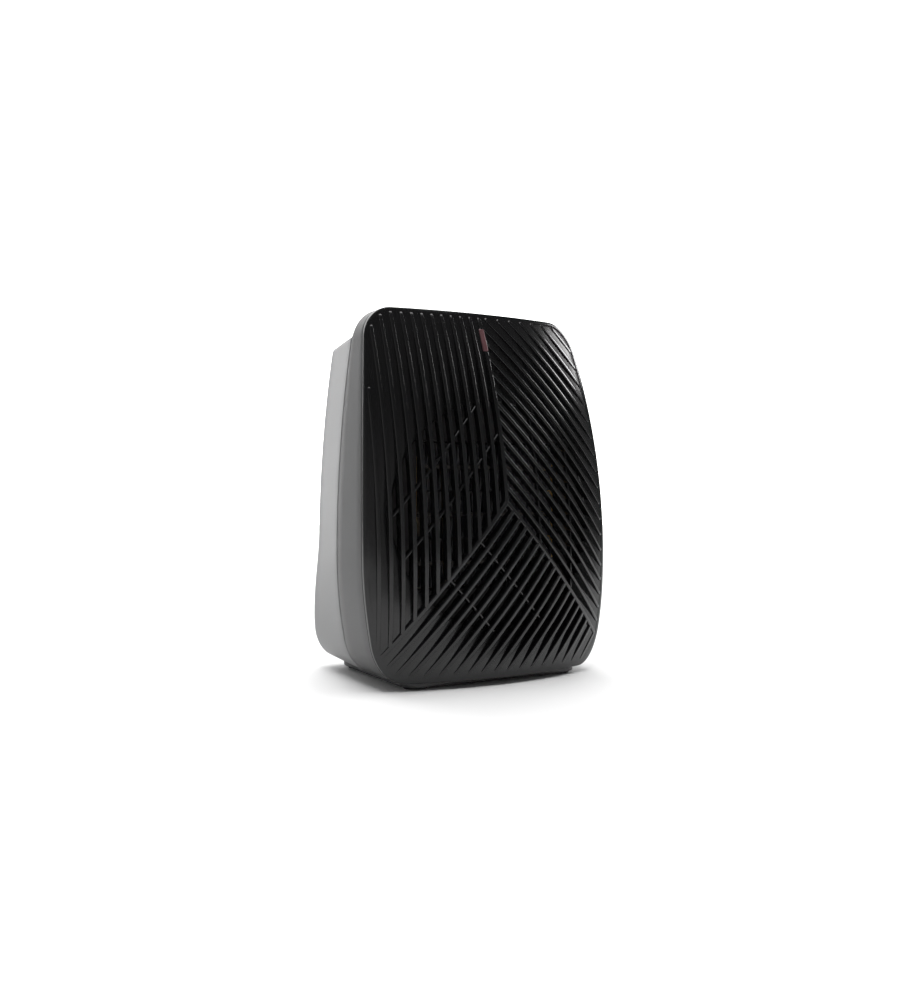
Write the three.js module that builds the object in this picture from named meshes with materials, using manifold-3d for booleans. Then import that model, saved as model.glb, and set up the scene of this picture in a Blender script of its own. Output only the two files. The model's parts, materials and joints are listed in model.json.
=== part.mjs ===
// Ceramic space heater, free standing. Millimetres, X to the right, Y to the back, Z up.
// The origin is on the floor under the middle of the body; the front faces -Y.
import * as THREE from "three";
import { mergeVertices } from "three/addons/utils/BufferGeometryUtils.js";
import Module from "manifold-3d";

const wasm = await Module();
wasm.setup();

// ---- driving dimensions: body ----
const BODY_TOP = 276.8;
const BODY_BOTTOM = 5.5;
const HALF_WIDTH = 104.7;
const WIDEST_Z = 94;
const SIDE_INSET_TOP = 15.3;
const SIDE_INSET_BOTTOM = 13.6;
const TOP_CORNER = { rx: 23.5, rz: 29 };
const BOTTOM_CORNER = { rx: 25, rz: 38 };
const FRONT_Y = -76;
const SEAM_Y = -4;
const REAR_Y = 74;
const DECK_Z = 256.5;
const WALL = 2.5;
const GAP = 0.3;

// The front is upright below LEAN_FROM_Z and leans back above it, bows back to both
// sides and tucks in a little at its foot. The bow grows flatter towards the top.
const LEAN = 38.6;
const LEAN_FROM_Z = 87.7;
const BOW = 0.002;
const BOW_EDGE = 2.1e-8;
const FLATTEN = 6.5;
const FLATTEN_HALF_WIDTH = 95;
const TUCK = 6.9;
const TUCK_HEIGHT = 70;

// The rear shell narrows towards the back and ends in a rounded edge.
const TAPER_END_Y = 62.5;
const TAPER_SIDE = 14;
const TAPER_BOTTOM = 2.5;
const REAR_ROUND = 10;

// ---- driving dimensions: front pattern ----
const PLATE = 3;
const JUNCTION_Z = 133.6;
const LEFT_ANGLE = THREE.MathUtils.degToRad(49.5);
const RIGHT_ANGLE = THREE.MathUtils.degToRad(48);
const UPRIGHT_PITCH = 7.9;
const DIAGONAL_PITCH = 8.15;
const RIB_WIDTH = 2.3;
const DUCT_Z = 124;
const OPEN_RADIUS = 84;

// ---- driving dimensions: inside ----
const SHROUD_INNER = 86;
const SHROUD_WALL = 2.5;
const SHROUD_FRONT_Y = -50.7;
const SHROUD_REAR_Y = 50;
const SHAFT_RADIUS = 2.5;
const HEATER = { width: 118, height: 106, depth: 14, frontY: -46, rows: 3 };
const INTAKE_RADIUS = 70;
const KNOB = { x: 36, y: 30, radius: 15, height: 14 };
const TIP_SWITCH = { x: 62, y: 24 };
const GLAND = { x: -55, z: 34, bore: 4 };
const SCREW_PLACES = [[-76, 62], [76, 62], [-60, 236], [60, 236]];

// ---- materials ----
function finish(color, roughness, metalness = 0) {
  return new THREE.MeshStandardMaterial({ color, roughness, metalness });
}
const glossBlack = finish(0x0d0d0e, 0.15);
const bezelGrey = finish(0x6c6d6e, 0.45);
const shellGrey = finish(0xa8a9aa, 0.5);
const baseBlack = finish(0x1a1a1b, 0.6);
const softRubber = finish(0x151515, 0.9);
const knobBlack = finish(0x202022, 0.35);
const redLens = finish(0x8c1512, 0.25);
const heatPlastic = finish(0x1d1c1a, 0.7);
const paleNylon = finish(0xe3dfd2, 0.5);
const lampAmber = finish(0xd9582b, 0.3);
const steel = finish(0xb8babd, 0.35, 0.9);
const darkSteel = finish(0x55585c, 0.5, 0.8);
const copper = finish(0xa4572c, 0.4, 0.7);
const brass = finish(0xc39a4a, 0.35, 0.9);
const aluminium = finish(0xc9ccd0, 0.35, 0.9);
const ceramic = finish(0x9c9a92, 0.8);
const bronze = finish(0x9a6d3a, 0.4, 0.8);
const boardGreen = finish(0x1f5134, 0.6);

const heater = new THREE.Group();

function addPart(name, shape, material) {
  const geometry = shape.isBufferGeometry ? shape : toGeometry(shape);
  const mesh = new THREE.Mesh(geometry, material);
  mesh.name = name;
  heater.add(mesh);
  return mesh;
}

// ---- solids ----
function toSolid(geometry) {
  const bare = geometry.clone();
  bare.deleteAttribute("normal");
  bare.deleteAttribute("uv");
  const merged = mergeVertices(bare, 1e-4);
  const vertProperties = new Float32Array(merged.attributes.position.array);
  const triVerts = new Uint32Array(merged.index.array);
  return new wasm.Manifold(new wasm.Mesh({ numProp: 3, vertProperties, triVerts }));
}

function toGeometry(solid) {
  const mesh = solid.getMesh();
  const geometry = new THREE.BufferGeometry();
  geometry.setAttribute("position", new THREE.BufferAttribute(mesh.vertProperties, 3));
  geometry.setIndex(new THREE.BufferAttribute(mesh.triVerts, 1));
  return geometry;
}

function box(x0, x1, y0, y1, z0, z1) {
  const geometry = new THREE.BoxGeometry(x1 - x0, y1 - y0, z1 - z0);
  return geometry.translate((x0 + x1) / 2, (y0 + y1) / 2, (z0 + z1) / 2);
}

function cylinderY(x, z, radius, y0, y1, sides = 24) {
  const geometry = new THREE.CylinderGeometry(radius, radius, y1 - y0, sides);
  return geometry.translate(x, (y0 + y1) / 2, z);
}

function cylinderZ(x, y, radius, z0, z1, sides = 24) {
  const geometry = new THREE.CylinderGeometry(radius, radius, z1 - z0, sides);
  return geometry.rotateX(Math.PI / 2).translate(x, y, (z0 + z1) / 2);
}

// A closed [radius, height] profile turned about an axis along Y, standing at x, z.
function turnedY(x, z, profile, sides = 32) {
  const closed = [...profile, profile[0]].map(([r, y]) => new THREE.Vector2(r, y));
  return outward(new THREE.LatheGeometry(closed, sides)).translate(x, 0, z);
}

// The same about an axis along Z, standing at x, y.
function turnedZ(x, y, profile, sides = 32) {
  const closed = [...profile, profile[0]].map(([r, z]) => new THREE.Vector2(r, z));
  return outward(new THREE.LatheGeometry(closed, sides)).rotateX(Math.PI / 2).translate(x, y, 0);
}

// An [x, z] outline with holes, made thick from y0 to y1.
function slabY(points, y0, y1, holes = []) {
  const shape = new THREE.Shape(points.map(([x, z]) => new THREE.Vector2(x, z)));
  shape.holes = holes.map((hole) => new THREE.Path(hole.map(([x, z]) => new THREE.Vector2(x, z))));
  const geometry = new THREE.ExtrudeGeometry(shape, { depth: y1 - y0, bevelEnabled: false });
  return geometry.rotateX(Math.PI / 2).translate(0, y1, 0);
}

function circlePoints(x, z, radius, sides) {
  const points = [];
  for (let i = 0; i < sides; i++) {
    const angle = (2 * Math.PI * i) / sides;
    points.push([x + radius * Math.cos(angle), z + radius * Math.sin(angle)]);
  }
  return points;
}

// Turns a closed body right side out if its faces point inwards.
function outward(geometry) {
  const bare = geometry.clone();
  bare.deleteAttribute("normal");
  bare.deleteAttribute("uv");
  const merged = mergeVertices(bare, 1e-4);
  const p = merged.attributes.position;
  const index = merged.index.array;
  const [a, b, c] = [new THREE.Vector3(), new THREE.Vector3(), new THREE.Vector3()];
  const kept = [];
  let volume = 0;
  for (let i = 0; i < index.length; i += 3) {
    const [ia, ib, ic] = [index[i], index[i + 1], index[i + 2]];
    if (ia === ib || ib === ic || ic === ia) continue;
    a.fromBufferAttribute(p, ia);
    b.fromBufferAttribute(p, ib);
    c.fromBufferAttribute(p, ic);
    volume += a.dot(b.cross(c));
    kept.push(ia, ib, ic);
  }
  if (volume < 0) {
    for (let i = 0; i < kept.length; i += 3) {
      [kept[i + 1], kept[i + 2]] = [kept[i + 2], kept[i + 1]];
    }
  }
  merged.setIndex(kept);
  return merged;
}

// A body through rings of equal count: joined last to first, or closed by end caps. A cap
// is a fan about its middle, or the given triangles where the ring is too thin for a fan.
function loft(rings, joined, capTriangles = null) {
  const count = rings[0].length;
  const points = rings.flat();
  const index = [];
  const bands = joined ? rings.length : rings.length - 1;
  for (let r = 0; r < bands; r++) {
    const s = (r + 1) % rings.length;
    for (let i = 0; i < count; i++) {
      const j = (i + 1) % count;
      index.push(r * count + i, r * count + j, s * count + j);
      index.push(r * count + i, s * count + j, s * count + i);
    }
  }
  if (!joined) {
    const lastStart = (rings.length - 1) * count;
    for (const [start, ring] of [[0, rings[0]], [lastStart, rings.at(-1)]]) {
      const isLast = start > 0;
      const triangles = capTriangles ?? fanAbout(points.length - start, count);
      if (!capTriangles) {
        const middle = ring.reduce((sum, p) => sum.add(p), new THREE.Vector3());
        points.push(middle.divideScalar(count));
      }
      for (const [i, j, k] of triangles) {
        index.push(start + i, start + (isLast ? j : k), start + (isLast ? k : j));
      }
    }
  }
  const geometry = new THREE.BufferGeometry();
  const positions = points.flatMap((p) => [p.x, p.y, p.z]);
  geometry.setAttribute("position", new THREE.Float32BufferAttribute(positions, 3));
  geometry.setIndex(index);
  return outward(geometry);
}

function fanAbout(middle, count) {
  return Array.from({ length: count }, (_, i) => [i, (i + 1) % count, middle]);
}

// ---- body outline ----
function sideX(z) {
  const above = (z - WIDEST_Z) / (BODY_TOP - WIDEST_Z);
  const below = (WIDEST_Z - z) / WIDEST_Z;
  return HALF_WIDTH - (z > WIDEST_Z ? SIDE_INSET_TOP * above * above : SIDE_INSET_BOTTOM * below * below);
}

function sideSlope(z) {
  return z > WIDEST_Z
    ? (2 * SIDE_INSET_TOP * (z - WIDEST_Z)) / (BODY_TOP - WIDEST_Z) ** 2
    : (2 * SIDE_INSET_BOTTOM * (WIDEST_Z - z)) / WIDEST_Z ** 2;
}

// Where a corner's ellipse meets the side curve along its tangent. The angle is measured from the level end.
function joinSide({ rx, rz }, centreZ, toFlat) {
  let angle = Math.PI / 2;
  let z = centreZ;
  for (let i = 0; i < 12; i++) {
    angle = Math.atan2(rx, sideSlope(z) * rz);
    z = centreZ + toFlat * rz * Math.cos(angle);
  }
  return { angle, z, x: sideX(z) - rx * Math.sin(angle) };
}

// The right half from the bottom centre to the top centre, as [x, z].
function halfOutline() {
  const points = [];
  const lowZ = BODY_BOTTOM + BOTTOM_CORNER.rz;
  const highZ = BODY_TOP - TOP_CORNER.rz;
  const low = joinSide(BOTTOM_CORNER, lowZ, -1);
  const high = joinSide(TOP_CORNER, highZ, 1);
  const flatSteps = 2;
  const cornerSteps = 5;
  const sideSteps = 5;
  for (let i = 0; i < flatSteps; i++) points.push([(low.x * i) / flatSteps, BODY_BOTTOM]);
  for (let i = 0; i < cornerSteps; i++) {
    const a = low.angle * (i / cornerSteps);
    points.push([low.x + BOTTOM_CORNER.rx * Math.sin(a), lowZ - BOTTOM_CORNER.rz * Math.cos(a)]);
  }
  for (let i = 0; i < sideSteps; i++) {
    const z = low.z + ((high.z - low.z) * i) / sideSteps;
    points.push([sideX(z), z]);
  }
  for (let i = 0; i <= cornerSteps; i++) {
    const a = high.angle * (1 - i / cornerSteps);
    points.push([high.x + TOP_CORNER.rx * Math.sin(a), highZ + TOP_CORNER.rz * Math.cos(a)]);
  }
  for (let i = flatSteps - 1; i >= 0; i--) points.push([(high.x * i) / flatSteps, BODY_TOP]);
  return points;
}

function fullOutline() {
  const right = halfOutline();
  const left = right.slice(1, -1).reverse().map(([x, z]) => [-x, z]);
  return [...right, ...left];
}

const OUTLINE = fullOutline();

// The outline moved in along its own normals by a distance that may depend on the point.
function insetOutline(distance) {
  const count = OUTLINE.length;
  return OUTLINE.map(([x, z], i) => {
    const [px, pz] = OUTLINE[(i + count - 1) % count];
    const [nx, nz] = OUTLINE[(i + 1) % count];
    const length = Math.hypot(nx - px, nz - pz);
    const d = typeof distance === "function" ? distance(x, z) : distance;
    return [x - (d * (nz - pz)) / length, z + (d * (nx - px)) / length];
  });
}

function frontY(x, z) {
  const lean = Math.max(0, (z - LEAN_FROM_Z) / (BODY_TOP - LEAN_FROM_Z));
  const tuck = Math.max(0, 1 - z / TUCK_HEIGHT);
  const bow = BOW * x ** 2 + BOW_EDGE * x ** 4;
  const flatter = FLATTEN * (1 - (x / FLATTEN_HALF_WIDTH) ** 2) * lean ** 2;
  return FRONT_Y + LEAN * lean ** 2 + bow + flatter + TUCK * tuck ** 2;
}

function bendToFront(geometry) {
  const p = geometry.attributes.position;
  for (let i = 0; i < p.count; i++) {
    p.setY(i, p.getY(i) + frontY(p.getX(i), p.getZ(i)));
  }
  return geometry;
}

// ---- flat patterns ----
// Keeps the part of a convex outline where a * x + b * z <= limit.
function clip(points, a, b, limit) {
  const kept = [];
  points.forEach(([x, z], i) => {
    const [nextX, nextZ] = points[(i + 1) % points.length];
    const here = a * x + b * z - limit;
    const next = a * nextX + b * nextZ - limit;
    if (here <= 0) kept.push([x, z]);
    if (here * next < 0) {
      const t = here / (here - next);
      kept.push([x + t * (nextX - x), z + t * (nextZ - z)]);
    }
  });
  return kept;
}

function area(points) {
  return Math.abs(points.reduce((sum, [x, z], i) => {
    const [nextX, nextZ] = points[(i + 1) % points.length];
    return sum + x * nextZ - nextX * z;
  }, 0)) / 2;
}

// The slots of one wedge of the front: they lie side by side from the wedge's own edge.
function wedgeSlots(wedge) {
  const slots = [];
  const minimumArea = 25;
  for (let k = 0; ; k++) {
    const near = k * wedge.pitch + RIB_WIDTH / 2;
    const far = (k + 1) * wedge.pitch - RIB_WIDTH / 2;
    if (near > 2 * OPEN_RADIUS) return slots;
    let slot = circlePoints(0, DUCT_Z, OPEN_RADIUS, 30);
    const [a, b] = wedge.across;
    const origin = b * JUNCTION_Z;
    slot = clip(slot, a, b, origin + far);
    slot = clip(slot, -a, -b, -origin - near);
    const [c, d] = wedge.other;
    slot = clip(slot, -c, -d, -d * JUNCTION_Z - RIB_WIDTH / 2);
    if (slot.length > 2 && area(slot) > minimumArea) slots.push(slot);
  }
}

function frontSlots() {
  const leftLine = [-Math.sin(LEFT_ANGLE), Math.cos(LEFT_ANGLE)];
  const rightLine = [Math.sin(RIGHT_ANGLE), Math.cos(RIGHT_ANGLE)];
  const left = { across: [-1, 0], other: leftLine, pitch: UPRIGHT_PITCH };
  const right = { across: rightLine, other: [1, 0], pitch: DIAGONAL_PITCH };
  const bottom = {
    across: [-leftLine[0], -leftLine[1]],
    other: [-rightLine[0], -rightLine[1]],
    pitch: DIAGONAL_PITCH,
  };
  return [left, right, bottom].flatMap(wedgeSlots);
}

const LAMP_WINDOW = { x0: -2.1, x1: 2.1, z0: 246.5, z1: 264.5 };

function lampWindow(inset) {
  const { x0, x1, z0, z1 } = LAMP_WINDOW;
  return [
    [x0 + inset, z0 + inset],
    [x1 - inset, z0 + inset],
    [x1 - inset, z1 - inset],
    [x0 + inset, z1 - inset],
  ];
}

// ---- outer shells ----
// The bowed plate is lofted through outlines that shrink towards its middle, front and back.
function makeFrontGrille() {
  const shares = [0.5, 1];
  const ring = (share, depth) => OUTLINE.map(([x, z]) => {
    const [px, pz] = [x * share, DUCT_Z + (z - DUCT_Z) * share];
    return new THREE.Vector3(px, frontY(px, pz) + depth, pz);
  });
  const front = shares.map((share) => ring(share, 0));
  const back = shares.map((share) => ring(share, PLATE)).reverse();
  let plate = toSolid(loft([...front, ...back], false));
  const [before, behind] = [FRONT_Y - 1, SEAM_Y];
  for (const slot of [...frontSlots(), lampWindow(0)]) {
    plate = plate.subtract(toSolid(slabY(slot, before, behind)));
  }
  addPart("front_grille", plate, glossBlack);
}

function makeFrontBezel() {
  const outer = insetOutline(0);
  const inner = insetOutline(WALL);
  const front = (points) => points.map(([x, z], i) => {
    const [outerX, outerZ] = outer[i];
    return new THREE.Vector3(x, frontY(outerX, outerZ) + PLATE + GAP, z);
  });
  const back = (points) => points.map(([x, z]) => new THREE.Vector3(x, SEAM_Y - GAP, z));
  let bezel = toSolid(loft([front(outer), back(outer), back(inner), front(inner)], true));
  const crown = clip(outer, 0, -1, -(DECK_Z - 5));
  bezel = bezel.add(toSolid(slabY(crown, SEAM_Y - GAP - WALL, SEAM_Y - GAP)));
  const postRadius = 4.5;
  const postFront = -22;
  const postBack = 67.2;
  for (const [x, z] of SCREW_PLACES) {
    const upper = z > DUCT_Z;
    const side = Math.sign(x);
    const web = upper
      ? box(x - 1.5, x + 1.5, postFront, SEAM_Y - GAP, z, BODY_TOP - 1)
      : box(Math.min(x, side * 101), Math.max(x, side * 101), postFront, SEAM_Y - GAP, z - 1.5, z + 1.5);
    bezel = bezel.add(toSolid(web));
    bezel = bezel.add(toSolid(cylinderY(x, z, postRadius, postFront, postBack, 16)));
    bezel = bezel.subtract(toSolid(cylinderY(x, z, 2, 45, postBack + 1, 12)));
  }
  addPart("front_bezel", bezel, bezelGrey);
}

// How far the rear shell has drawn in from the outline at a depth and a height.
function rearInset(y, z) {
  const along = THREE.MathUtils.clamp((y - SEAM_Y) / (TAPER_END_Y - SEAM_Y), 0, 1);
  const rise = THREE.MathUtils.smoothstep(z, BODY_BOTTOM, 110);
  const taper = (TAPER_BOTTOM + (TAPER_SIDE - TAPER_BOTTOM) * rise) * along;
  const turn = THREE.MathUtils.clamp((y - TAPER_END_Y) / (REAR_Y - TAPER_END_Y), 0, 1);
  return taper + REAR_ROUND * (1 - Math.sqrt(1 - turn ** 2));
}

function rearRing(y, wall) {
  const points = insetOutline((x, z) => rearInset(y, z) + wall);
  const drop = 2 * THREE.MathUtils.clamp((y - TAPER_END_Y) / (REAR_Y - TAPER_END_Y), 0, 1) ** 2;
  return points.map(([x, z]) => new THREE.Vector3(x, y, Math.min(z, DECK_Z - wall - drop)));
}

function rearBlock(wall, startY, endY) {
  const turn = [0, 0.5, 0.83, 1].map((t) => TAPER_END_Y + (endY - TAPER_END_Y) * t);
  return toSolid(loft([startY, ...turn].map((y) => rearRing(y, wall)), false));
}

function makeRearHousing() {
  let shell = rearBlock(0, SEAM_Y + GAP, REAR_Y);
  shell = shell.subtract(rearBlock(WALL, SEAM_Y - 2, REAR_Y - WALL));
  for (const [x, z] of SCREW_PLACES) {
    shell = shell.add(toSolid(cylinderY(x, z, 7, 67.5, REAR_Y - 0.5, 20)));
    shell = shell.subtract(toSolid(cylinderY(x, z, 4.3, 70.5, REAR_Y + 1, 16)));
    shell = shell.subtract(toSolid(cylinderY(x, z, 2.1, 60, REAR_Y, 12)));
  }
  shell = shell.subtract(toSolid(cylinderY(0, DUCT_Z, INTAKE_RADIUS, 65, REAR_Y + 1, 36)));
  shell = shell.subtract(toSolid(cylinderY(GLAND.x, GLAND.z, 5.8, 65, REAR_Y + 1, 20)));
  for (const x of [-KNOB.x, KNOB.x]) {
    shell = shell.subtract(toSolid(cylinderZ(x, KNOB.y, 4.5, DECK_Z - 6, DECK_Z + 4, 20)));
  }
  const { x, y } = TIP_SWITCH;
  shell = shell.subtract(toSolid(cylinderZ(x, y, 4.6, 0, 20, 20)));
  addPart("rear_housing", shell, shellGrey);
}

function makeIntakeGrille() {
  const faceRadius = INTAKE_RADIUS - GAP;
  const slots = [];
  const slotHeight = 4.2;
  const barPitch = 8;
  const openRadius = 63;
  for (let z = -openRadius + 7; z < openRadius - 4; z += barPitch) {
    let slot = circlePoints(0, 0, openRadius, 24);
    slot = clip(slot, 0, 1, z + slotHeight / 2);
    slot = clip(slot, 0, -1, -z + slotHeight / 2);
    for (const side of [-1, 1]) {
      const half = clip(slot, side, 0, -2);
      if (area(half) > 20) slots.push(half.map(([px, pz]) => [px, pz + DUCT_Z]));
    }
  }
  let grille = toSolid(slabY(circlePoints(0, DUCT_Z, faceRadius, 36), 71, REAR_Y));
  for (const slot of slots) grille = grille.subtract(toSolid(slabY(slot, 70, REAR_Y + 1)));
  const rim = slabY(circlePoints(0, DUCT_Z, faceRadius + 5, 36), 68.4, REAR_Y - WALL - GAP, [
    circlePoints(0, DUCT_Z, openRadius + 2, 36),
  ]);
  addPart("rear_intake_grille", grille.add(toSolid(rim)), baseBlack);
}

// The tray under the body; its top follows the rising underside of the rear shell.
const TRAY = { halfWidth: 75, frontY: -60, backY: 63, bottomZ: 1.5 };

function makeBasePlate() {
  const top = BODY_BOTTOM - GAP;
  const rise = (TAPER_BOTTOM * (TRAY.backY - SEAM_Y)) / (TAPER_END_Y - SEAM_Y);
  const profile = new THREE.Shape([
    new THREE.Vector2(TRAY.frontY + 2, TRAY.bottomZ),
    new THREE.Vector2(TRAY.backY - 2, TRAY.bottomZ),
    new THREE.Vector2(TRAY.backY, TRAY.bottomZ + 2),
    new THREE.Vector2(TRAY.backY, top + rise - GAP),
    new THREE.Vector2(SEAM_Y, top),
    new THREE.Vector2(TRAY.frontY, top),
    new THREE.Vector2(TRAY.frontY, TRAY.bottomZ + 1.5),
  ]);
  const geometry = new THREE.ExtrudeGeometry(profile, { depth: 2 * TRAY.halfWidth, bevelEnabled: false });
  geometry.rotateZ(Math.PI / 2).rotateY(Math.PI / 2).translate(-TRAY.halfWidth, 0, 0);
  const passage = toSolid(cylinderZ(TIP_SWITCH.x, TIP_SWITCH.y, 4.6, 0, 20, 20));
  addPart("base_plate", toSolid(outward(geometry)).subtract(passage), bezelGrey);
}

function makeFeet() {
  const half = { x: 9.5, y: 7 };
  const edge = 0.4;
  const places = { front_left: [-62, -48], front_right: [62, -48], rear_left: [-62, 50], rear_right: [62, 50] };
  for (const [name, [x, y]] of Object.entries(places)) {
    const outline = new THREE.Shape();
    outline.absellipse(0, 0, half.x, half.y, 0, 2 * Math.PI);
    const pad = new THREE.ExtrudeGeometry(outline, {
      depth: TRAY.bottomZ - GAP - 2 * edge, bevelThickness: edge, bevelSize: edge, bevelOffset: -edge,
      bevelSegments: 1, curveSegments: 10,
    });
    addPart(`foot_${name}`, outward(pad.translate(x, y, edge)), softRubber);
  }
}

// ---- controls ----
function makeKnob(name, x, turn) {
  const bottom = DECK_Z + 0.5;
  const top = bottom + KNOB.height;
  const skirt = bottom + 5;
  const body = turnedZ(x, KNOB.y, [
    [0, bottom],
    [KNOB.radius, bottom],
    [KNOB.radius, skirt - 1],
    [KNOB.radius - 1, skirt],
    [0, skirt],
  ], 36);
  const grip = box(-4, 4, -12.5, 12.5, skirt - 1, top);
  grip.rotateZ(turn).translate(x, KNOB.y, 0);
  const bore = cylinderZ(x, KNOB.y, 3.3, bottom - 1, top - 3.5, 20);
  addPart(name, toSolid(body).add(toSolid(grip)).subtract(toSolid(bore)), knobBlack);
}

function makeSpindle(name, x) {
  addPart(name, cylinderZ(x, KNOB.y, 3, DECK_Z - 20, DECK_Z + 10.5, 16), steel);
}

function makeSwitchBody(name, x, halfX, halfY, height, material) {
  const top = DECK_Z - WALL - GAP;
  const block = toSolid(box(x - halfX, x + halfX, KNOB.y - halfY, KNOB.y + halfY, top - height, top));
  const bush = toSolid(cylinderZ(x, KNOB.y, 4.2, top - 1, DECK_Z, 20));
  let body = block.add(bush).subtract(toSolid(cylinderZ(x, KNOB.y, 3.3, DECK_Z - 20.5, DECK_Z + 1, 20)));
  for (const tab of [-0.6, 0, 0.6]) {
    const tabX = x + tab * halfX;
    body = body.add(toSolid(box(tabX - 2.4, tabX + 2.4, KNOB.y - 0.4, KNOB.y + 0.4, top - height - 8, top - height + 1)));
  }
  addPart(name, body, material);
}

function makeControls() {
  makeKnob("mode_knob", -KNOB.x, 0);
  makeSpindle("mode_spindle", -KNOB.x);
  makeSwitchBody("mode_switch_body", -KNOB.x, 15, 15, 19, paleNylon);
  makeKnob("thermostat_knob", KNOB.x, THREE.MathUtils.degToRad(-45));
  makeSpindle("thermostat_spindle", KNOB.x);
  makeSwitchBody("thermostat_body", KNOB.x, 14, 10, 21, ceramic);
}

function makeIndicator() {
  const lens = slabY(lampWindow(GAP), 0.8, 6);
  addPart("power_light_lens", outward(bendToFront(lens)), redLens);
  const { x0, x1, z0, z1 } = LAMP_WINDOW;
  const [x, z] = [(x0 + x1) / 2, (z0 + z1) / 2];
  const front = frontY(x, z1) + 8;
  addPart("power_lamp", new THREE.CapsuleGeometry(2.4, 7, 2, 10).translate(x, front + 5, z), lampAmber);
  addPart("lamp_board", box(x - 12, x + 12, front + 11.6, front + 13.2, z - 9, z + 9), boardGreen);
}

// ---- air path ----
function makeShroud() {
  const outer = SHROUD_INNER + SHROUD_WALL;
  const tube = turnedY(0, DUCT_Z, [
    [SHROUD_INNER, SHROUD_FRONT_Y],
    [SHROUD_INNER, SHROUD_REAR_Y],
    [outer, SHROUD_REAR_Y],
    [outer, SHROUD_FRONT_Y],
  ], 48);
  addPart("fan_shroud", tube, heatPlastic);
}

const HUB_RADIUS = 20;
const BLADE_TIP = 81;

function bladeSolid(turn) {
  const stations = [HUB_RADIUS - 1.5, 40, 60, BLADE_TIP];
  const thickness = 1.8;
  const centreY = -2;
  const rings = stations.map((radius) => {
    const share = (radius - HUB_RADIUS) / (BLADE_TIP - HUB_RADIUS);
    const pitch = THREE.MathUtils.degToRad(42 - 20 * share);
    const half = 11 + 10 * share;
    const ring = [];
    for (const [along, across] of [[-1, -0.5], [0, -0.5], [1, -0.5], [1, 0.5], [0, 0.5], [-1, 0.5]]) {
      const camber = along === 0 ? 2 : 0;
      const a = (along * half * Math.cos(pitch)) / Math.max(radius, 30) + turn;
      const y = centreY + along * half * Math.sin(pitch) + across * thickness + camber;
      ring.push(new THREE.Vector3(radius * Math.cos(a), y, DUCT_Z + radius * Math.sin(a)));
    }
    return ring;
  });
  return toSolid(loft(rings, false, [[0, 1, 5], [1, 4, 5], [1, 2, 4], [2, 3, 4]]));
}

function makeImpeller() {
  let fan = toSolid(turnedY(0, DUCT_Z, [
    [2.8, -13],
    [17, -13],
    [HUB_RADIUS, -10],
    [HUB_RADIUS, 9],
    [18, 9],
    [18, -10.5],
    [6, -10.5],
    [6, 8],
    [2.8, 8],
  ]));
  const blades = 7;
  for (let i = 0; i < blades; i++) fan = fan.add(bladeSolid((2 * Math.PI * i) / blades));
  addPart("fan_impeller", fan, heatPlastic);
  addPart("impeller_nut", turnedY(0, DUCT_Z, [
    [2.8, -17.5],
    [4, -17.5],
    [6, -15],
    [6, -13.4],
    [2.8, -13.4],
  ], 12), steel);
}

// ---- motor ----
const STATOR = { y0: 24, y1: 44, halfX: 30, bottom: 66, top: 148, bore: 16.5, leg: 12 };

function makeMotor() {
  const { y0, y1, halfX, bottom, top, bore, leg } = STATOR;
  const bolts = [-24, 24];
  const outline = [[-halfX, bottom], [halfX, bottom], [halfX, top], [-halfX, top]];
  const window = [[-17, bottom + leg], [17, bottom + leg], [17, 102], [-17, 102]];
  const holes = [circlePoints(0, DUCT_Z, bore, 32), window, ...bolts.map((x) => circlePoints(x, DUCT_Z, 2, 12))];
  addPart("stator_core", slabY(outline, y0, y1, holes), darkSteel);

  const legTop = bottom + leg;
  const tube = (reach, halfLength) => box(
    -halfLength, halfLength, y0 - reach, y1 + reach, bottom - reach, legTop + reach);
  let bobbin = toSolid(tube(2.3, 16.4));
  for (const x of [-15.6, 15.6]) {
    bobbin = bobbin.add(toSolid(tube(9, 0.8).translate(x, 0, 0)));
  }
  bobbin = bobbin.subtract(toSolid(tube(GAP, 30)));
  addPart("coil_bobbin", bobbin, paleNylon);
  const coil = toSolid(tube(8.2, 14.4)).subtract(toSolid(tube(2.6, 30)));
  addPart("coil_winding", coil, copper);

  addPart("rotor_core", turnedY(0, DUCT_Z, [[2.8, 25], [15.8, 25], [15.8, 43], [2.8, 43]], 24), darkSteel);
  addPart("motor_shaft", cylinderY(0, DUCT_Z, SHAFT_RADIUS, -18, 58, 20), steel);

  const plateHoles = [circlePoints(0, DUCT_Z, 5.8, 20), ...bolts.map((x) => circlePoints(x, DUCT_Z, 2, 12))];
  const frontPlate = [[-halfX, 114], [halfX, 114], [halfX, 134], [-halfX, 134]];
  addPart("motor_front_plate", slabY(frontPlate, y0 - 3, y0 - GAP, plateHoles), steel);
  makeBearing("front_bearing", y0 - 5, y0 + 0.7);
  makeBearing("rear_bearing", 48.5, 55);
  makeMotorBracket(bolts);
  bolts.forEach((x, i) => {
    addPart(`motor_screw_${i + 1}`, screwSolid(x, DUCT_Z, 54, 32, 1.7, 3.4), steel);
  });
}

function makeBearing(name, y0, y1) {
  addPart(name, turnedY(0, DUCT_Z, [[2.8, y0], [5.5, y0], [5.5, y1], [2.8, y1]], 20), bronze);
}

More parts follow.
